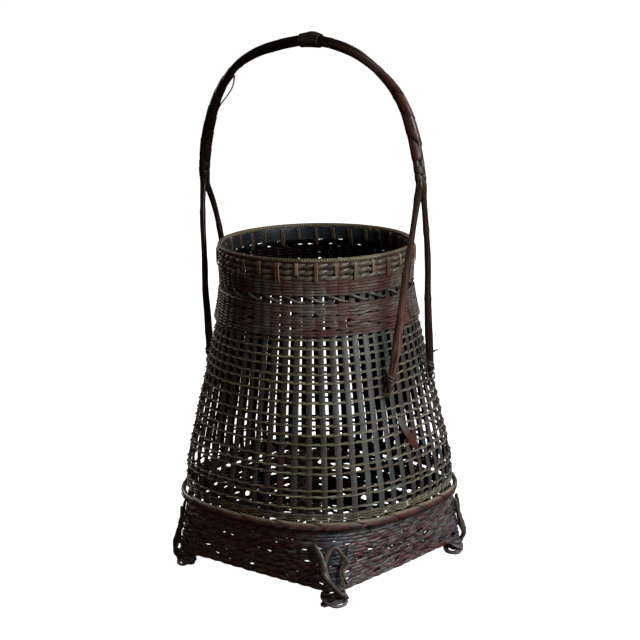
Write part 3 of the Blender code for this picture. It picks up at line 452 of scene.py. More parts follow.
# Each stake follows the wall at its own turn, with a slight wander sideways and in width. Round the back they
# stand a little off their even places.
def makeStakes():
    turns = np.arange(stakeCount)[:, None] + 0.5
    turns = turns + np.interp(turns / stakeCount * 360, stakes["unevenAt"], stakes["uneven"])
    heights = np.linspace(wall["bottom"] - 1, stakes["top"], stakes["steps"])[None, :]
    sway = rng.uniform(-1, 1, (stakeCount, 1)) * np.sin(heights / 40 + rng.uniform(0, 6, (stakeCount, 1)))
    share = (heights - wall["bottom"]) / (wall["top"] - wall["bottom"])
    width = stakes["shoulderWidth"] + share * (stakes["rimWidth"] - stakes["shoulderWidth"])
    width = width * (1 + rng.uniform(-stakes["widthChange"], stakes["widthChange"], (stakeCount, 1)))
    grid = uprights(turns + stakes["wander"] * sway, heights, width)
    # The stakes' inward faces get painted shade.
    makePiece("wall_stakes", [(grid, False, innerShade(stripProfile))], stakeBamboo, ["stake_cage"])


makeStakes()
print("stakes made")

# Twined rows

rows = {
    "levels": (232.8, 225.3, 218.6, 211.2, 203.3, 196.2, 188.4, 179.3, 167.5, 159.4, 151.6, 143.9, 132.3, 124.5,
               118.6, 104.3, 99.1, 88.7),
    "shoulderLevels": (82.6, 80.3, 78.0),
    "height": 1.5, "thickness": 1.4, "middle": -0.45, "reach": 1.3, "lift": 0.5,
}
neck = {"lower": (262.9, 237.3, 11), "upper": (283.7, 272.8, 5), "height": 2.6, "thickness": 2.2, "reach": 0.9,
        "lift": 0.12, "middles": {"lower": 1.6, "upper": 0.9}, "smokedSide": 220, "smoked": 0.5}
neckHoles = {"count": 240, "low": 239, "high": 258, "rise": 1.1, "reach": 1.8}
skirt = {"bottom": 15.4, "top": 66.6, "count": 17, "height": 3.3, "thickness": 1.6, "middle": -0.6, "reach": 1.2,
         "lift": 0.35, "stakeWidth": 5.8}
skirtHoles = {"count": 320, "low": 18, "high": 60, "rise": 2.0, "reach": 2.4}
rim = {"levels": (298.2, 292.6, 287.0), "height": 3.9, "thickness": 2.0, "middle": -0.3, "reach": 1.35,
       "lift": 0.7}
rimHoles = {"count": 22, "low": 284, "high": 290, "rise": 1.3, "reach": 2.6}
# Slits between the rim's lowest row and the neck that let daylight in round the back
rimSlits = {"turns": (15.8, 16.8, 18.8, 20.8, 21.8, 25.0), "level": 285.3, "rise": 1.5}


# Two strands wind round each other and cross between stakes, so one is always in front of a stake:
# offset out = middle + reach * cos(phase), offset up = lift * sin(phase), phase = pi * (turns - 0.5 + strand).
# Which of the two starts in front is left to chance. Painted shade darkens a strand where it dips behind a
# stake, so that each pass over a stake shows as one dash, and its underside gets painted shade as well.
def twinedRow(level, options, steps=6, corners=6, sway=0.35, part=None, dip=0.0, aside=0.0):
    turns = np.arange(stakeCount * steps) / steps
    phase = pi * (turns[None] - 0.5 + np.arange(2)[:, None] + rng.integers(0, 2))
    phase = phase + pi * (aside + wander(turns, 28, 0.2 if aside else 0.0))
    uneven = 1 + wander(turns, stakeCount, 0.22)
    middle = level + wander(turns, 13, sway) + wander(turns, stakeCount, sway * 0.35)
    if part is not None:
        middle = middle + part(turns, level)
    heights = middle + options["lift"] * uneven * np.sin(phase)
    reach = options["middle"] + options["reach"] * np.cos(phase)
    out = surfaceOut(turns, middle)[None]
    path = surfacePoint(turns[None] + 0 * phase, heights) + out * reach[..., None]
    fat = 1 + wander(turns, stakeCount * 2, 0.13)
    size = sizes(options["height"] * fat, options["thickness"] * fat)
    outline = rodProfile(corners)
    shadeAndWear = np.maximum(innerShade(outline)[None, None], dip * np.clip(0.55 - 1.1 * np.cos(phase), 0, 1)[..., None])
    return sweep(path, out + 0 * path, outline, size, closed=True), True, shadeAndWear


# Rows part above and below each small hole: shift = sign of the distance, fading sideways and up and down.
def parting(holes, slits=None):
    count = holes["count"]
    places = rng.integers(0, stakeCount, count).astype(float)
    heights = rng.uniform(holes["low"], holes["high"], count)
    rises = np.full(count, holes["rise"])
    if slits:
        count = len(slits["turns"])
        places = np.append(places, slits["turns"])
        heights, rises = (np.append(a, np.full(count, slits[key])) for a, key in ((heights, "level"), (rises, "rise")))

    def part(turns, level):
        aside = turns[:, None] - places[None]
        aside = aside - stakeCount * np.round(aside / stakeCount)
        away = level - heights[None]
        shift = rises * np.sign(away) * np.exp(-(aside / 0.3)**2 - (away / holes["reach"])**2)
        return np.sum(shift, axis=1)

    return part


for number, level in enumerate(rows["levels"], start=1):
    makePiece(f"twined_row_{number:02d}", [twinedRow(level, rows)], wovenCane, [f"weaver_row_{number:02d}"])
makePiece("twined_row_19", [twinedRow(level, rows, sway=0.2) for level in rows["shoulderLevels"]], wovenCane,
          ["weaver_row_19"])
neckPart = parting(neckHoles, rimSlits)


# The neck's rows get painted shade on the side away from the key lamp, growing with the cosine of the angle from that
# side.
def makeNeckRows(name, node):
    options = {**neck, "middle": neck["middles"][name]}
    angle = np.arange(stakeCount * 6) / 6 / stakeCount * 2 * pi
    smoked = neck["smoked"] * np.clip((np.cos(angle - math.radians(neck["smokedSide"])) - 0.35) / 0.5, 0, 1)
    grids = []
    for level in np.linspace(*neck[name]):
        points, closed, shadeAndWear = twinedRow(level, options, sway=0.12, part=neckPart)
        grids.append((points, closed, np.maximum(shadeAndWear, smoked[None, :, None])))
    makePiece(f"neck_rows_{name}", grids, neckCane, [node])


makeNeckRows("lower", "lower_neck_weave")
makeNeckRows("upper", "upper_neck_weave")
rimPart = parting(rimHoles, rimSlits)
for number, level in enumerate(rim["levels"], start=1):
    makePiece(f"rim_cane_{number}", [twinedRow(level, rim, steps=8, corners=10, sway=0.25, part=rimPart)], rimCane,
              [f"rim_row_{number}"])
print("rows twined")


# The square foot's skirt and floor

skirtPart = parting(skirtHoles)


def makeSkirt():
    levels = np.linspace(skirt["bottom"], skirt["top"], skirt["count"])
    grids = []
    for level in levels:
        points, closed, shadeAndWear = twinedRow(level, skirt, corners=8, part=skirtPart, dip=0.6,
                                         aside=rng.uniform(-0.5, 0.5))
        # At the square's corners the strands lose half their painted shade, and where they have none the blue-grey wear
        # colour shows: wear with a painted sheen.
        corner = np.arange(stakeCount * 6) / 6 / stakeCount * 4 - 0.5
        wornAndSheen = np.exp(-((corner - np.round(corner)) / 0.09)**2)[None, :, None] * 0.9
        grids.append((points, closed, np.where(shadeAndWear > 0.1, shadeAndWear * (1 - 0.5 * wornAndSheen), -wornAndSheen)))
    makePiece("skirt_rows", grids, skirtCane, ["base_skirt"])
    heights = np.linspace(foot["bottom"] + 0.8, wall["bottom"] + 1.5, 9)[None, :]
    grid = uprights(np.arange(stakeCount)[:, None] + 0.5, heights, skirt["stakeWidth"])
    makePiece("skirt_stakes", [(grid, False)], stakeBamboo, ["base_skirt"])


plait = {"count": 16, "pitch": 11.8, "width": 4.9, "thickness": 0.9, "lift": 0.5, "level": 14.8, "halfLength": 95.0}


# Strips along X and along Y go over and under each other: height = level + lift * cos(pi * place / pitch).
def makeFloor():
    number = np.arange(plait["count"])[:, None]
    across = (number - (plait["count"] - 1) / 2) * plait["pitch"]
    along = np.linspace(-plait["halfLength"], plait["halfLength"], 97)[None, :]
    grids = []
    for way in (0, 1):
        wave = np.cos(pi * along / plait["pitch"] + pi * (number + way) + pi / 2)
        height = plait["level"] + plait["lift"] * wave
        straight = [along + 0 * across, across + 0 * along]
        path = np.stack([straight[way], straight[1 - way], height], axis=-1)
        grids.append((sweep(path, (0, 0, 1.0), stripProfile, (plait["width"], plait["thickness"])), False))
    makePiece("plaited_floor", grids, floorBamboo, ["floor_mat"])


makeSkirt()
makeFloor()
print("foot woven")


# Shoulder hoop and its wrapping

hoop = {"height": 73.0, "thickness": 4.6, "proud": 4.5, "loops": 22, "runs": ((238, 390), (58, 210)),
        "wrapInner": 2.7, "wrapRise": 1.1, "wrapThickness": 0.5, "cover": 1.07, "wrapOut": 0.82, "wrapUp": 1.08,
        "flakes": 44, "flakeLength": (6, 12), "flakeSlope": (0.25, 0.6), "flakeWidth": (1.2, 2.4)}


def hoopMiddle(angle):
    return wallRadius(hoop["height"], angle) + hoop["proud"]


def makeHoop():
    turns, angle = roundBasket(256)
    path = polar(hoopMiddle(angle) + wander(turns, 20, 0.25), angle, hoop["height"] + wander(turns, 20, 0.25))
    width = hoop["thickness"] * (1 + wander(turns, 16, 0.04))
    grid = sweep(path, polar(1, angle, 0), rodProfile(14), sizes(width, width), closed=True)
    makePiece("hoop_cane", [(grid, True)], hoopCane, ["shoulder_hoop"])


# The strip's point at (length s in loops, width w): angle = start + pitch * (s + cover * w), turned round the
# hoop by 2 pi s, at a radius that is larger at w = 0, where it lies on the loop before. Its upper edge shows the
# lighter wear colour as a painted highlight, its underside and its edges get painted shade, and short torn flakes
# in the wear colour lie slanting on it.
def makeHoopWrap():
    grids = []
    pitch = 2 * pi / hoop["loops"]
    for start, end in hoop["runs"]:
        loops = math.radians(end - start) / pitch
        s = np.linspace(0, loops, int(loops * 20))[:, None]
        w = np.array([0, 0.03, 0.25, 0.5, 0.75, 0.97, 1])[None, :]
        own = 1 + drift(s[:, 0] / loops, 40, 0.12)[:, None]
        angle = math.radians(start) + pitch * (s + hoop["cover"] * own * (w - 0.5))
        low = hoop["wrapInner"] + hoop["wrapRise"] * (1 - w)
        shells = []
        over = -np.sin(2 * pi * s)
        # Painted shade in the seams at both edges of the strip, and by height round the hoop a painted highlight on top
        # and painted shade below.
        seams = np.array([0.9, 0.3, 0, 0, 0, 0.3, 0.9])[None]
        lit = -0.9 * np.clip((over - 0.55) / 0.3, 0, 1) + 0.6 * np.clip(-0.1 - over, 0, 1)
        shadeAndWear = np.where(seams + lit > 0.3, np.maximum(seams, lit), lit + 0.5 * seams)
        for rise in (0, hoop["wrapThickness"]):
            radius = low + np.where((w == 0) | (w == 1), 0.25, 1) * rise
            reach = hoopMiddle(angle) + radius * hoop["wrapOut"] * np.cos(2 * pi * s)
            shells.append(polar(reach, angle, hoop["height"] - radius * hoop["wrapUp"] * np.sin(2 * pi * s)))
        grids.append((twoFaced(*shells), False, np.tile(shadeAndWear, 2)))
    share = np.linspace(0, 1, 9)
    turn = np.radians(rng.uniform(*hoop["runs"][0], hoop["flakes"]) + rng.integers(0, 2, hoop["flakes"]) * 180)
    for angle in turn:
        length, slope = rng.uniform(*hoop["flakeLength"]), rng.uniform(*hoop["flakeSlope"])
        way = angle + (share - 0.5) * length / hoopMiddle(angle)
        rise = (share - 0.5) * length * slope + rng.uniform(-1.2, 1.2)
        reach = hoopMiddle(angle) + hoop["wrapOut"] * 3.6 * np.sqrt(1 - (rise / 6)**2) + 0.35 + 0.5 * share**3
        slim = rng.uniform(*hoop["flakeWidth"]) * np.sin(pi * (0.12 + 0.8 * share))
        path = polar(reach, way, hoop["height"] + rise)
        grids.append((sweep(path, polar(1, angle, 0.0), stripProfile, sizes(slim, 0.5)), False, -0.35))
    makePiece("hoop_wrapping", grids, lacqueredStrip, ["shoulder_wrap"])


makeHoop()
makeHoopWrap()
print("shoulder hoop made")


# Neck twist

twist = {"level": 268.3, "middle": -0.2, "spread": 2.2, "lift": 3.0, "turns": 14, "first": 0.0, "width": 2.6,
         "thickness": 2.2}


# Two thick strands twine through the gaps, each over two stakes and behind two: at angle a from the first,
# out = middle + spread * cos(turns * a), up = level - lift * sin(turns * a). Behind the stakes they are darkened by
# painted shade, and so are their undersides.
def makeTwist():
    steps = twist["turns"] * 24
    angle = np.arange(steps) * 2 * pi / steps
    turns = angle / (2 * pi) * stakeCount
    for letter, start in (("a", 0), ("b", pi)):
        phase = twist["turns"] * (angle - math.radians(twist["first"])) + start
        uneven = 1 + wander(turns, 28, 0.12)
        reach = wallRadius(twist["level"], angle) + twist["middle"] + twist["spread"] * np.cos(phase)
        path = polar(reach, angle, twist["level"] - twist["lift"] * uneven * np.sin(phase) + wander(turns, 28, 0.3))
        fat = 0.85 + 0.15 * np.cos(phase)
        outline = rodProfile(8)
        shadeAndWear = np.maximum(innerShade(outline)[None, None], np.clip(0.3 - np.cos(phase), 0, 1)[None, :, None])
        size = sizes(twist["width"] * fat, twist["thickness"] * fat)
        grid = sweep(path, polar(1, angle, 0), outline, size, closed=True)
        makePiece(f"neck_twist_{letter}", [(grid, True, shadeAndWear)], rimCane, [f"neck_twist_strand_{letter}"])


makeTwist()


# Rim: lining strip, bound hoop and lashings

lining = {"bottom": 289.9, "top": 301.6, "thickness": 1.0, "behind": 1.6}
topHoop = {"radius": 87.8, "level": 303.0, "thickness": 3.8, "bindPitch": 2.4, "bindDepth": 0.2, "slant": 1.2}
lash = {"count": 32, "first": 6.2, "width": 1.8, "thickness": 0.8, "apart": 2.3, "long": 284.1, "short": 289.6,
        "steps": 5}


def makeRimLining():
    turns, angle = roundBasket(256)
    middle = (lining["bottom"] + lining["top"]) / 2
    pucker = 0.25 * np.cos(lash["count"] * angle)
    reach = wallRadius(middle, angle) - stakes["thickness"] - lining["behind"] - lining["thickness"] / 2
    path = polar(reach + pucker, angle, middle + wander(turns, 32, 0.2))
    size = (lining["top"] - lining["bottom"], lining["thickness"])
    grid = sweep(path, polar(1, angle, 0), stripProfile, size, closed=True)
    makePiece("rim_lining", [(grid, True)], liningStrip, ["rim_inner_strip"])


# A hoop whose radius ripples with its fine binding: radius = half thickness + depth * cos(binding phase).
def makeTopHoop():
    binds = round(2 * pi * topHoop["radius"] / topHoop["bindPitch"])
    steps = binds * 4
    angle = np.arange(steps)[:, None] * 2 * pi / steps
    section = np.arange(12)[None, :] * 2 * pi / 12
    ripple = topHoop["bindDepth"] * np.cos(binds * angle + topHoop["slant"] * np.sin(section))
    radius = topHoop["thickness"] / 2 + ripple
    points = polar(topHoop["radius"] + radius * np.cos(section), angle,
                   topHoop["level"] + radius * np.sin(section))
    # Painted shade in the grooves between the bindings, where the radius dips.
    shadeAndWear = np.clip(-0.9 * ripple / topHoop["bindDepth"], 0, 1)[None]
    makePiece("rim_bound_hoop", [(points, True, shadeAndWear)], boundCane, ["rim_top_hoop"])


# Each lashing is a closed loop in the plane of its angle: through the wall, up the rows, in under the bound
# hoop and down the lining, where it is darkened by painted shade.
def makeLashings():
    numbers = np.arange(lash["count"])
    angles = np.radians(lash["first"] + numbers * 360 / lash["count"])
    outer = wallRadius(287, 0) + 3.1
    inner = wallRadius(295, 0) - 4.3
    # Painted shade on the inside part of each loop.
    shadeAndWear = np.zeros(10)
    shadeAndWear[6:] = 0.6
    shadeAndWear = np.repeat(shadeAndWear, lash["steps"])[None, :, None]
    grids = []
    for side in (-0.5, 0.5):
        paths = []
        for number, angle in zip(numbers, angles):
            level = lash["short"] if number % 2 == 0 else lash["long"]
            level = level + rng.uniform(-0.5, 0.5)
            angle = angle + rng.uniform(-0.006, 0.006)
            lean = rng.uniform(-0.35, 0.35)
            corners = np.array([
                (outer - 1.2, level, -lean), (outer - 0.1, level + 1.0, -lean), (outer + 0.15, 291.5, -lean / 3),
                (outer + 0.15, 296, lean / 3), (outer - 0.2, 299.6, lean), (outer - 2.2, 300.9, lean),
                (inner + 0.6, 300.6, lean), (inner, 297, 0), (inner, 291, -1), (inner + 2.2, level + 0.3, -1),
            ])
            loop = smoothCurve(corners, lash["steps"], closed=True)
            away = np.array([-math.sin(angle), math.cos(angle), 0])
            paths.append(polar(loop[:, 0], angle, loop[:, 1])
                         + (loop[:, 2:] + side * lash["apart"]) * away)
        paths = np.array(paths)
        centre = polar((outer + inner) / 2, angles, 295.0)[:, None]
        grid = sweep(paths, paths - centre, stripProfile, (lash["width"], lash["thickness"]), closed=True)
        grids.append((grid, True, shadeAndWear))
    makePiece("rim_lashings", grids, lashCane, ["rim_lashing"])


makeRimLining()
makeTopHoop()
makeLashings()
print("rim made")


# Handle

arch = {
    "top": 486.0, "rightAngle": 1.5, "rightReach": 117.6, "rightFork": 366.0,
    "leftAngle": 187.5, "leftReach": 122.3, "leftFork": 348.0,
    "right": ((1, 0), (0.983, 0.136), (0.947, 0.308), (0.889, 0.478), (0.822, 0.604), (0.714, 0.727),
              (0.545, 0.849), (0.36, 0.938), (0.17, 0.984)),
    "left": ((0.14, 0.989), (0.33, 0.952), (0.509, 0.898), (0.66, 0.822), (0.754, 0.74), (0.826, 0.656),
             (0.895, 0.533), (0.941, 0.409), (0.975, 0.285), (0.999, 0.12), (1, 0)),
}
vine = {"radius": 2.5, "legRadius": 3.2, "spread": 2.47, "halfTurns": 3, "broad": 1.4, "corners": 14,
        "steps": 200, "legSteps": 60, "legEnd": 183.0,
        "legs": {"right_front": -14.2, "right_back": 21.5, "left_front": 201.5, "left_back": 172.5},
        "thickest": {"right_front": 4.3, "right_back": 3.7, "left_front": 3.6, "left_back": 3.2},
        "bowAt": (0, 0.1, 0.2, 0.3, 0.45, 0.6, 0.8, 1),
        "bow": {"right_front": (0, 0, 0, 0, 0, 0, 0, 0), "right_back": (0, 2.5, 4.5, 6, 4, 1.5, 0, 0),
                "left_front": (0, 3, 4.4, 4.4, 4, 2, -1.5, -3), "left_back": (0, -3, -4, -4, -2, 0, 0, 0)}}
thorn = {"leg": "right_back", "share": 0.86, "length": 7.0, "thickness": 3.0}


def archSide(side):
    angle, reach, fork = (arch[side + word] for word in ("Angle", "Reach", "Fork"))
    shares = np.array(arch[side])
    return polar(reach * shares[:, 0], math.radians(angle), fork + (arch["top"] - fork) * shares[:, 1])


archLine = smoothCurve(np.vstack([archSide("right"), [(0, 0, arch["top"])], archSide("left")]), 12)
archLengths = np.concatenate([[0], np.cumsum(np.linalg.norm(np.diff(archLine, axis=0), axis=1))])
archAlong = directions(archLine[None], False)[0]
archLength = archLengths[-1]
archFlat = unit(np.cross(archLine[-1] - archLine[0], (0, 0, 1)))
archAcross = unit((archLine[0] - archLine[-1]) * (1, 1, 0))


# Point, outward side and flat side of the handle at places along it.
def archFrame(places):
    point = np.stack([np.interp(places, archLengths, archLine[:, k]) for k in range(3)], axis=-1)
    along = unit(np.stack([np.interp(places, archLengths, archAlong[:, k]) for k in range(3)], axis=-1))
    out = unit(np.cross(np.broadcast_to(archFlat, along.shape), along))
    return point, out, np.cross(along, out), along


def legEnd(name):
    angle = math.radians(vine["legs"][name])
    row = (wallRadius(vine["legEnd"], angle) + 0.6) / math.cos(pi / 32) + 2 + vine["legRadius"]
    return polar(row, angle, vine["legEnd"])


# Sideways bow of a leg, by its share of length: a smooth line through the named distances.
def bow(name, share):
    angle = math.radians(vine["legs"][name])
    return smoothValue(share, vine["bowAt"], vine["bow"][name]) * np.array([-math.sin(angle), math.cos(angle), 0])


# Two vines wind round each other: middle line = arch + spread * (cos(t) * flat + sin(t) * out), and each is
# broader across than outwards, so that the pair is nearly round. Legs go on from both forks, swell towards
# the wall and taper at their ends. The left arm and the top are painted darker than the right arm as painted
# shade on the side away from the key lamp, and the lower right front leg shows the lighter wear colour in streaks as
# painted highlights.
def makeVine(letter, sign, rightLeg, leftLeg):
    places = np.linspace(0, archLength, vine["steps"])
    point, out, flat, _ = archFrame(places)
    t = vine["halfTurns"] * pi * places / archLength
    apart = sign * (np.cos(t)[:, None] * flat + np.sin(t)[:, None] * out)
    over = point + vine["spread"] * apart
    share = (np.arange(vine["legSteps"]) + 1)[:, None] / vine["legSteps"]
    right = over[0] + share * (legEnd(rightLeg) - over[0]) + bow(rightLeg, share)
    left = over[-1] + share * (legEnd(leftLeg) - over[-1]) + bow(leftLeg, share)
    bend = np.stack([drift(share[:, 0], 5, 0.9), drift(share[:, 0], 5, 0.9), 0 * share[:, 0]], -1)
    bend = bend * np.sin(pi * share)
    path = np.vstack([(right + bend)[::-1], over, left + bend])
    hint = np.vstack([np.repeat(apart[:1], vine["legSteps"], 0), apart, np.repeat(apart[-1:], vine["legSteps"], 0)])
    count = len(path)
    broad = np.full(count, vine["broad"])
    thick = np.full(count, vine["radius"])
    n = vine["legSteps"]
    grown = np.interp(share[:, 0], (0, 0.12), (0, 1))
    swollen = np.interp(share[:, 0], (0, 0.25, 0.5, 0.78, 0.9, 1), (0, 0.1, 0.4, 1, 0.6, 0.1))
    for part, leg in ((slice(None, n), rightLeg), (slice(-n, None), leftLeg)):
        order = slice(None, None, -1) if leg == rightLeg else slice(None)
        thick[part] = (vine["radius"] + swollen * (vine["thickest"][leg] - vine["radius"]))[order]
        broad[part] = (vine["broad"] + grown * (1 - vine["broad"]))[order]
    along = np.linspace(0, 1, count)
    # Painted shade by place across the handle, darkest on the left arm and the top; below 0 on the right front leg it
    # is painted light.
    black = np.interp(path @ archAcross, (-125, -60, 10, 60, 100), (0.75, 0.9, 0.75, 0.3, 0))
    if rightLeg == "right_front":
        black[:n] = np.interp(share[::-1, 0], (0, 0.3, 0.5, 0.8, 1), (0.3, 0.1, -0.3, -0.7, 0.1))
    else:
        black[:n] = np.interp(share[::-1, 0], (0, 0.3, 1), (0, 0.35, 0.5))
    black[-n:] *= np.interp(share[:, 0], (0, 1), (1, 0.6))
    swell = 1 + drift(along, 60, 0.05)
    for knot in rng.uniform(0.03, 0.97, 14):
        swell = swell + 0.13 * np.exp(-((along - knot) / 0.0035)**2)
    swell[:3] *= (0.6, 0.85, 0.97)
    swell[-3:] *= (0.97, 0.85, 0.6)
    size = np.stack([2 * thick * broad * swell, 2 * thick * swell], axis=-1)[None]
    ridges = 1 + np.stack([drift(along, 40, 0.07) for _ in range(vine["corners"])], axis=-1)[None, :, :, None]
    profile = rodProfile(vine["corners"]) * ridges
    grid = sweep(path, hint, profile, size)
    grids = [(grid, False, black[None, :, None])]
    if rightLeg == thorn["leg"]:
        root = path[round((1 - thorn["share"]) * n)]
        away = unit(root * (1, 1, 0)) + (-0.3, 0.75, 0.15)
        along = np.linspace(0, 1, 7)[:, None]
        slim = thorn["thickness"] * (1 - 0.75 * along)
        spur = root + along * thorn["length"] * away + along**2 * (0, 0, 1.5)
        grids.append((sweep(spur, (0, 0, 1.0), rodProfile(8), np.concatenate([slim, slim], axis=1)[None]), False, 0.5))
    makePiece(f"vine_{letter}", grids, vineBark, [f"handle_vine_{letter}"], sharpAngle=60)
    return path


vineA = makeVine("a", 1, "right_back", "left_front")
vineB = makeVine("b", -1, "right_front", "left_back")
print("vines made")

windings = {
    "right_fork_binding": {"start": 1.0, "length": 22.0, "loops": 3, "cover": 1.05},
    "right_handle_wrap": {"start": 14.0, "length": 108.0, "loops": 5, "cover": 1.1},
    "left_handle_wrap": {"start": archLength - 121.0, "length": 107.0, "loops": 7, "cover": 1.1},
    "left_fork_binding": {"start": archLength - 25.0, "length": 24.0, "loops": 3, "cover": 1.05},
}
windingSkin = {"clear": 0.1, "rise": 0.45, "thickness": 0.35}


# How far the outside of the two vines is from the handle's middle line: an oval a by b that turns with them,
# radius = a * b / sqrt((b * cos(d))^2 + (a * sin(d))^2), d = turn round the handle less the vines' own turn.
def vineHull(place, turn):
    apart = turn - vine["halfTurns"] * pi * place / archLength
    a = vine["spread"] + vine["radius"]
    b = vine["radius"] * vine["broad"]
    return a * b / np.sqrt((b * np.cos(apart))**2 + (a * np.sin(apart))**2)


# A strip wound round both vines, s in loops and w across from 0 to 1: place = start + pitch * (s + cover * w),
# turned by 2 pi s. It lies higher at w = 0, on the loop before, and runs out to a point at both ends.
def makeWinding(name):
    options = windings[name]
    loops = options["loops"] - 1
    pitch = options["length"] / options["loops"]
    s = np.linspace(0, loops, loops * 30 + 1)[:, None]
    w = np.array([0, 0.04, 0.3, 0.7, 0.96, 1])[None, :]
    full = np.clip(np.minimum(s, loops - s) * 2 + 0.25, 0, 1)
    place = options["start"] + pitch * (s + 0.5 + options["cover"] * full * (w - 0.5))
    point, out, flat, _ = archFrame(place)
    turn = 2 * pi * s + 1.1
    hull = vineHull(place, turn) + windingSkin["clear"] + windingSkin["rise"] * (1 - w) * full
    arms = np.cos(turn)[..., None] * flat + np.sin(turn)[..., None] * out
    inside = point + hull[..., None] * arms
    edge = np.where((w == 0) | (w == 1), 0.3, 1.0) * windingSkin["thickness"]
    outside = point + (hull + edge)[..., None] * arms
    grid = np.concatenate([inside, outside[:, ::-1]], axis=1)
    # Painted shade: the left wraps are darkened as the side away from the key lamp, the right fork binding by half and
    # the other wraps a little, and both edges of the strip get painted shade in the seams.
    black = 0.85 if name.startswith("left") else 0.5 if name == "right_fork_binding" else 0.2
    shadeAndWear = np.tile(np.maximum([0.95, 0.5, 0, 0, 0.5, 0.95], black), 2)
    makePiece(f"{name}_strip", [(grid, False, shadeAndWear)], wrapStrip, [name])


for windingName in windings:
    makeWinding(windingName)

sleeve = {"offset": -9.4, "length": 21.0, "thickness": 1.1, "clear": 0.2, "knot": 1.6, "sides": 32}


# The collar: an oval band round both vines, with a bulging middle, and a knot that rises on its top.
def makeSleeve():
    share = np.array((-0.5, -0.49, -0.4, -0.2, 0.0, 0.2, 0.4, 0.49, 0.5))
    places = archLength / 2 + sleeve["offset"] + sleeve["length"] * share
    point, out, flat, _ = archFrame(places)
    turn = (np.arange(sleeve["sides"]) * 2 * pi / sleeve["sides"])[:, None]
    arms = np.cos(turn)[..., None] * flat + np.sin(turn)[..., None] * out
    hull = vine["spread"] + vine["radius"] + sleeve["clear"]
    knot = sleeve["knot"] * np.maximum(0, np.sin(turn))**6 * np.exp(-((share + 0.1) / 0.28)**2)
    edge = np.where(abs(share) == 0.5, 0.2, 1.0)
    rise = sleeve["thickness"] * edge * (1 + 0.25 * np.cos(pi * share)) + knot * edge
    inside = point + hull * arms
    outside = point + (hull + rise)[..., None] * arms
    grid = np.concatenate([inside, outside[:, ::-1]], axis=1)
    makePiece("handle_collar", [(grid, True, 0.45)], vineBark, ["handle_top_sleeve"])


makeSleeve()

loose = {"start": archLength - 114.0, "span": 38.0, "sag": 5.0, "width": 1.7, "thickness": 0.9}


# A strip sprung loose: below the handle by sag * sin(pi * share).
def makeLooseStrip():
    share = np.linspace(0, 1, 33)
    point, out, flat, _ = archFrame(loose["start"] + share * loose["span"])
    depth = vineHull(loose["start"] + share * loose["span"], -pi / 2) + 0.7 + loose["sag"] * np.sin(pi * share)
    path = point - out * depth[:, None] + flat * (2 * np.sin(2 * pi * share))[:, None]
    makePiece("sprung_strip", [(sweep(path, out, stripProfile, (loose["width"], loose["thickness"])), False)],
              vineBark, ["loose_strip"])


makeLooseStrip()
print("handle bound")


# Lashings of the legs

legLash = {"width": 1.4, "thickness": 0.8, "starts": (183.0, 184.8, 191.5, 193.3, 196.0),
           "leans": (5.5, 5.5, 5.0, -5.0, -5.5)}
legLines = {"right_back": (vineA[0], vineA[8]), "left_front": (vineA[-1], vineA[-9]),
            "right_front": (vineB[0], vineB[8]), "left_back": (vineB[-1], vineB[-9])}


# Closed loops that slant over the leg, down one side and up the other, and go in at the nearest gap, above and
# below a row. Spots are distance from the axis, sideways from the leg, and up as a share of the lean.
def makeLegLashing(leg):
    low, high = legLines[leg]
    grids = []
    for start, lean in zip(legLash["starts"], legLash["leans"]):
        middle = low + (start - low[2]) / (high[2] - low[2]) * (high - low)
        reach = float(np.linalg.norm(middle[:2]))
        angle = math.atan2(middle[1], middle[0])
        turnNow = angle / (2 * pi) * stakeCount
        face = float(wallRadius(start, angle))
        gap = (round(turnNow) - turnNow) * 2 * pi * face / stakeCount
        radius = vine["legRadius"] + legLash["thickness"] / 2
        spots = [(reach + radius, 0, 0), (reach + 0.6 * radius, 0.9 * radius, 0.4), (reach - 0.4 * radius, radius, 0.8),
                 (face + 0.6, gap + 1.3, 1.1), (face - 2.0, gap + 0.6, 1), (face - 2.4, gap, 0),
                 (face - 2.0, gap - 0.6, -1), (face + 0.6, gap - 1.3, -1.1), (reach - 0.4 * radius, -radius, -0.8),
                 (reach + 0.6 * radius, -0.9 * radius, -0.4)]
        corners = np.array([polar(away, angle + aside / away, start + lean * up) for away, aside, up in spots])
        path = smoothCurve(corners, 6, closed=True)
        centre = polar((reach + face - 2) / 2, angle, start)
        grids.append((sweep(path, path - centre, stripProfile, (legLash["width"], legLash["thickness"]), closed=True),
                      True))
    makePiece(f"{leg}_leg_binding", grids, tieVine, [f"{leg}_lashing"])


for legName in vine["legs"]:
    makeLegLashing(legName)

tail = {"top": (-8.8, 158.5), "bottom": (0.6, 127.5), "width": 6.4, "thickness": 1.0}


def makeTail():
    share = np.linspace(0, 1, 25)
    angle = np.radians(tail["top"][0] + share * (tail["bottom"][0] - tail["top"][0]))
    height = tail["top"][1] + share * (tail["bottom"][1] - tail["top"][1])
    path = polar(wallRadius(height, angle) + 2.9 + 0.5 * np.sin(pi * share), angle, height)
    width = tail["width"] * (1 - 0.35 * np.abs(2 * share - 1)**4)
    size = np.stack([width, np.full_like(width, tail["thickness"])], axis=-1)[None]
    grid = sweep(path, polar(1, angle, 0), stripProfile, size, turn=0.25 * share[None])
    # Painted shade on the strip's inner face; along its outer face the lighter wear colour shows at the upper end and
    # it darkens towards the lower end.
    face = np.interp(share, (0, 0.4, 0.55, 0.9, 1), (-0.8, -0.7, 0, 0.1, 0.4))[None, :, None]
    shadeAndWear = np.where(innerShade(stripProfile) > 0.5, 1, face)
    makePiece("tucked_strip", [(grid, False, shadeAndWear)], tailStrip, ["tucked_tail"])


makeTail()


# Corner ties and feet

tie = {"widths": (5.6, 4.0, 3.2), "flat": 0.66, "bottom": 11.0, "top": 58.0, "bulge": 4.0, "sideBulge": 2.0}
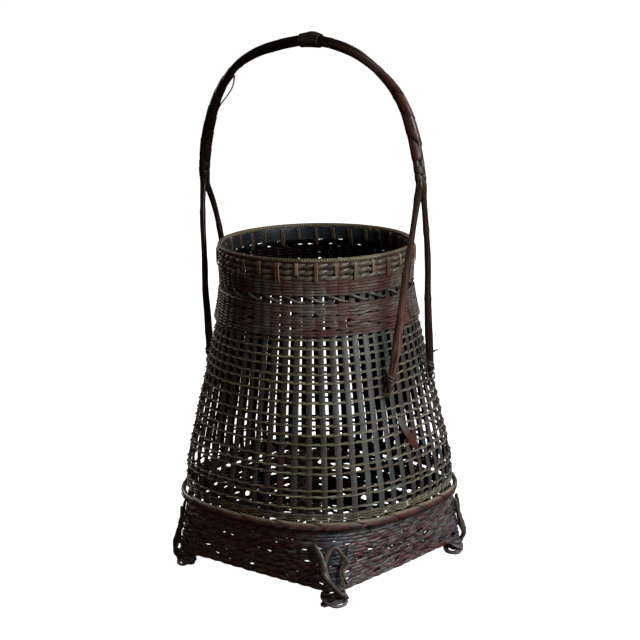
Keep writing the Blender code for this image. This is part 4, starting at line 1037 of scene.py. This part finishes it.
# Sideways in millimetres, upwards as a share, outwards as a share of the bulge
tieStrands = (
    ((-16.0, 0.98, 0.0), (-11.0, 0.8, 0.35), (-7.5, 0.6, 0.7), (-5.5, 0.42, 0.9), (-1.5, 0.22, 1.0), (3.5, 0.04, 0.8),
     (8.0, -0.05, 0.3)),
    ((4.0, 0.0, 0.2), (-1.0, 0.18, 0.55), (-5.5, 0.4, 0.5), (-6.5, 0.66, 0.6), (-3.0, 0.88, 0.5), (1.5, 0.93, 0.6),
     (6.0, 0.8, 0.8), (8.5, 0.62, 0.9), (5.5, 0.46, 0.7), (6.5, 0.3, 0.5), (9.5, 0.2, 0.1)),
    ((-5.0, 0.02, 0.3), (1.0, 0.12, 0.9), (5.0, 0.3, 0.8), (4.0, 0.5, 0.6), (8.0, 0.7, 1.0), (12.5, 0.86, 0.5),
     (15.0, 0.97, 0.0)),
)
knob = {"height": 13.2, "length": 24.5, "depth": 19.0, "reach": 126.5, "strand": 3.1}
corners = {"front": -45, "right": 45, "back": 135, "left": 225}


# Three lengths of vine tied over a corner of the foot: one slants down across it, one loops round, and one
# holds both. They follow the skirt's corner at a distance of bulge times their outward share.
def makeTie(name, degrees):
    grids = []
    for shares, width in zip(tieStrands, tie["widths"]):
        shares = np.array(shares) + np.stack([rng.uniform(-0.8, 0.8, len(shares)), 0 * np.arange(len(shares)),
                                              rng.uniform(-0.1, 0.1, len(shares))], axis=-1)
        height = tie["bottom"] + shares[:, 1] * (tie["top"] - tie["bottom"])
        pitch = edgeLength / stakeCount
        turns = degrees / 360 * stakeCount + shares[:, 0] / pitch
        out = surfaceOut(turns, height)
        level = np.maximum(height, foot["bottom"])
        bulge = tie["bulge"] if name == "front" else tie["sideBulge"]
        points = surfacePoint(turns, level) + out * (1.6 + width / 2 + bulge * shares[:, 2])[:, None]
        points[:, 2] = height
        path = smoothCurve(points, 8)
        along = np.linspace(0, 1, len(path))
        slim = 1 - 0.5 * np.abs(2 * along - 1)**6 + 0.08 * np.sin(along * 40)
        size = np.stack([width * slim, width * tie["flat"] * slim], axis=-1)[None]
        outline = rodProfile(10)
        grids.append((sweep(path, polar(1, math.radians(degrees), 0.0), outline, size, turn=along[None]), False))
    makePiece(f"{name}_corner_loop", grids, tieVine, [f"{name}_corner_tie"])


# A foot is a squat knot of thin vine: rings round a core, each tilted another way,
# side = length * cos(u), out = depth * sin(u), up = height * tilt * sin(u + start).
def makeFoot(name, degrees):
    out = polar(1, math.radians(degrees), 0.0)
    side = np.array([-out[1], out[0], 0])
    up = np.array([0, 0, 1.0])
    u = np.arange(64)[:, None] * 2 * pi / 64
    middle = out * knob["reach"] + up * knob["height"] / 2
    half = knob["strand"] / 2
    grids = []
    for level, start, tilt, grow in ((-0.3, 0.4, 0.25, 0.8), (-0.15, 1.3, 0.55, 1.0), (0.0, 3.6, 0.65, 1.0),
                                     (0.15, 5.3, 0.55, 0.95), (0.3, 2.2, 0.4, 0.85), (0.4, 4.4, 0.3, 0.75)):
        path = (middle + side * (knob["length"] / 2 - half) * grow * np.cos(u)
                + out * (knob["depth"] / 2 - half) * grow * np.sin(u)
                + up * knob["height"] * (level + tilt * 0.6 * np.sin(u + start)))
        path[:, 2] = np.clip(path[:, 2], half + 0.1, knob["height"] - half * 0.8)
        size = knob["strand"] * np.stack([0.95 + 0.12 * np.sin(5 * u[:, 0]), 1 + 0.1 * np.cos(4 * u[:, 0])], -1)[None]
        grids.append((sweep(path, path - middle + 0.3 * out, rodProfile(10), size, closed=True), True))
    core = np.linspace(-1, 1, 13)[:, None]
    full = np.sqrt(np.maximum(1 - core[:, 0]**2, 0.02))
    path = middle + side * core * (knob["length"] / 2 - 2.5)
    size = np.stack([knob["height"] * 0.7 * full, knob["depth"] * 0.6 * full], -1)[None]
    # The core is painted darker, as painted shade among the rings.
    grids.append((sweep(path, out, rodProfile(12), size), False, 0.7))
    makePiece(f"{name}_knot", grids, footVine, [f"{name}_foot"])


for cornerName, cornerDegrees in corners.items():
    makeTie(cornerName, cornerDegrees)
    makeFoot(cornerName, cornerDegrees)
print("corners tied")


# Stage, camera and light


def makeStage():
    size = 30
    mesh = bpy.data.meshes.new("studioFloor")
    mesh.from_pydata([(-size, -size, 0), (size, -size, 0), (size, size, 0), (-size, size, 0)], [], [(0, 1, 2, 3)])
    material = bpy.data.materials.new("paperSweep")
    material.use_nodes = True
    shader = material.node_tree.nodes["Principled BSDF"]
    shader.inputs["Base Color"].default_value = linear("f4f4f4")
    shader.inputs["Roughness"].default_value = 0.9
    shader.inputs["Emission Color"].default_value = linear("ffffff")
    shader.inputs["Emission Strength"].default_value = 1.0
    mesh.materials.append(material)
    floor = addObject("studioFloor", mesh)
    floor.visible_diffuse = False
    floor.visible_glossy = False


makeStage()

view = {"azimuth": 39.96, "distance": 1777.9, "height": 641.6, "pitch": 0.2275, "yaw": 0.0015, "roll": -0.0157,
        "focal": 1984.0, "frame": 640.0}


# The camera stands at (0, -distance, height), looks down by the pitch, and all is turned round Z by the azimuth.
def makeCamera():
    azimuth = math.radians(view["azimuth"])
    spin = np.array([[math.cos(azimuth), -math.sin(azimuth), 0], [math.sin(azimuth), math.cos(azimuth), 0],
                     [0, 0, 1]])
    pitch, yaw, roll = view["pitch"], view["yaw"], view["roll"]
    ahead = np.array([math.sin(yaw) * math.cos(pitch), math.cos(yaw) * math.cos(pitch), -math.sin(pitch)])
    right = unit(np.cross(ahead, (0, 0, 1.0)))
    up = np.cross(right, ahead)
    axes = np.stack([right * math.cos(roll) + up * math.sin(roll), up * math.cos(roll) - right * math.sin(roll),
                     -ahead], axis=1)
    data = bpy.data.cameras.new("photoCamera")
    data.sensor_width = 36
    data.lens = 36 * view["focal"] / view["frame"]
    data.clip_start, data.clip_end = 0.05, 100
    place = spin @ np.array([0, -view["distance"], view["height"]]) * mm
    bpy.context.scene.camera = addObject("photoCamera", data, spin @ axes, place)


makeCamera()

# Direction round from the camera towards its right, height angle, distance (m), size (m), power (W), colour
lamps = {
    "keyRight": (50, 26, 1.1, 0.7, 12, "f6ffff"),
    "topSoft": (90, 82, 2.2, 1.4, 6, "ffffff"),
    "rimRight": (135, 18, 2.2, 0.9, 8, "ffffff"),
    "rimLeft": (-140, 18, 2.0, 0.9, 8, "fff6e8"),
    "fillLeft": (-62, 12, 2.6, 1.4, 2.6, "ffd0b8"),
}


# Azimuth 0 is the camera's side of the basket, positive to its right.
def makeLamps():
    for name, (round_, rise, distance, size, power, colour) in lamps.items():
        angle = math.radians(view["azimuth"] - 90 + round_)
        rise = math.radians(rise)
        target = np.array([0, 0, 0.22])
        away = np.array([math.cos(angle) * math.cos(rise), math.sin(angle) * math.cos(rise), math.sin(rise)])
        right = unit(np.cross((0, 0, 1.0), away))
        axes = np.stack([right, np.cross(away, right), away], axis=1)
        data = bpy.data.lights.new(name, "AREA")
        data.size = size
        data.energy = power
        data.color = linear(colour)[:3]
        addObject(name, data, axes, target + away * distance).visible_camera = False


makeLamps()


# White behind the basket for the camera, and a weaker grey for the light that falls on it.
def makeSurroundings():
    world = bpy.data.worlds.new("studio")
    bpy.context.scene.world = world
    world.use_nodes = True
    tree = world.node_tree
    tree.nodes.clear()
    seen = addNode(tree, "Background", {"Color": (1, 1, 1, 1), "Strength": 1.0})
    fill = addNode(tree, "Background", {"Color": linear("ffd0b8"), "Strength": 0.03})
    isCamera = addNode(tree, "LightPath", out="Is Camera Ray")
    mixed = addNode(tree, "MixShader", {0: isCamera, 1: fill, 2: seen})
    addNode(tree, "OutputWorld", {"Surface": mixed})
    bpy.context.scene.view_settings.view_transform = "Standard"
    bpy.context.scene.view_settings.look = "None"


makeSurroundings()
print("stage, camera and lamps made")
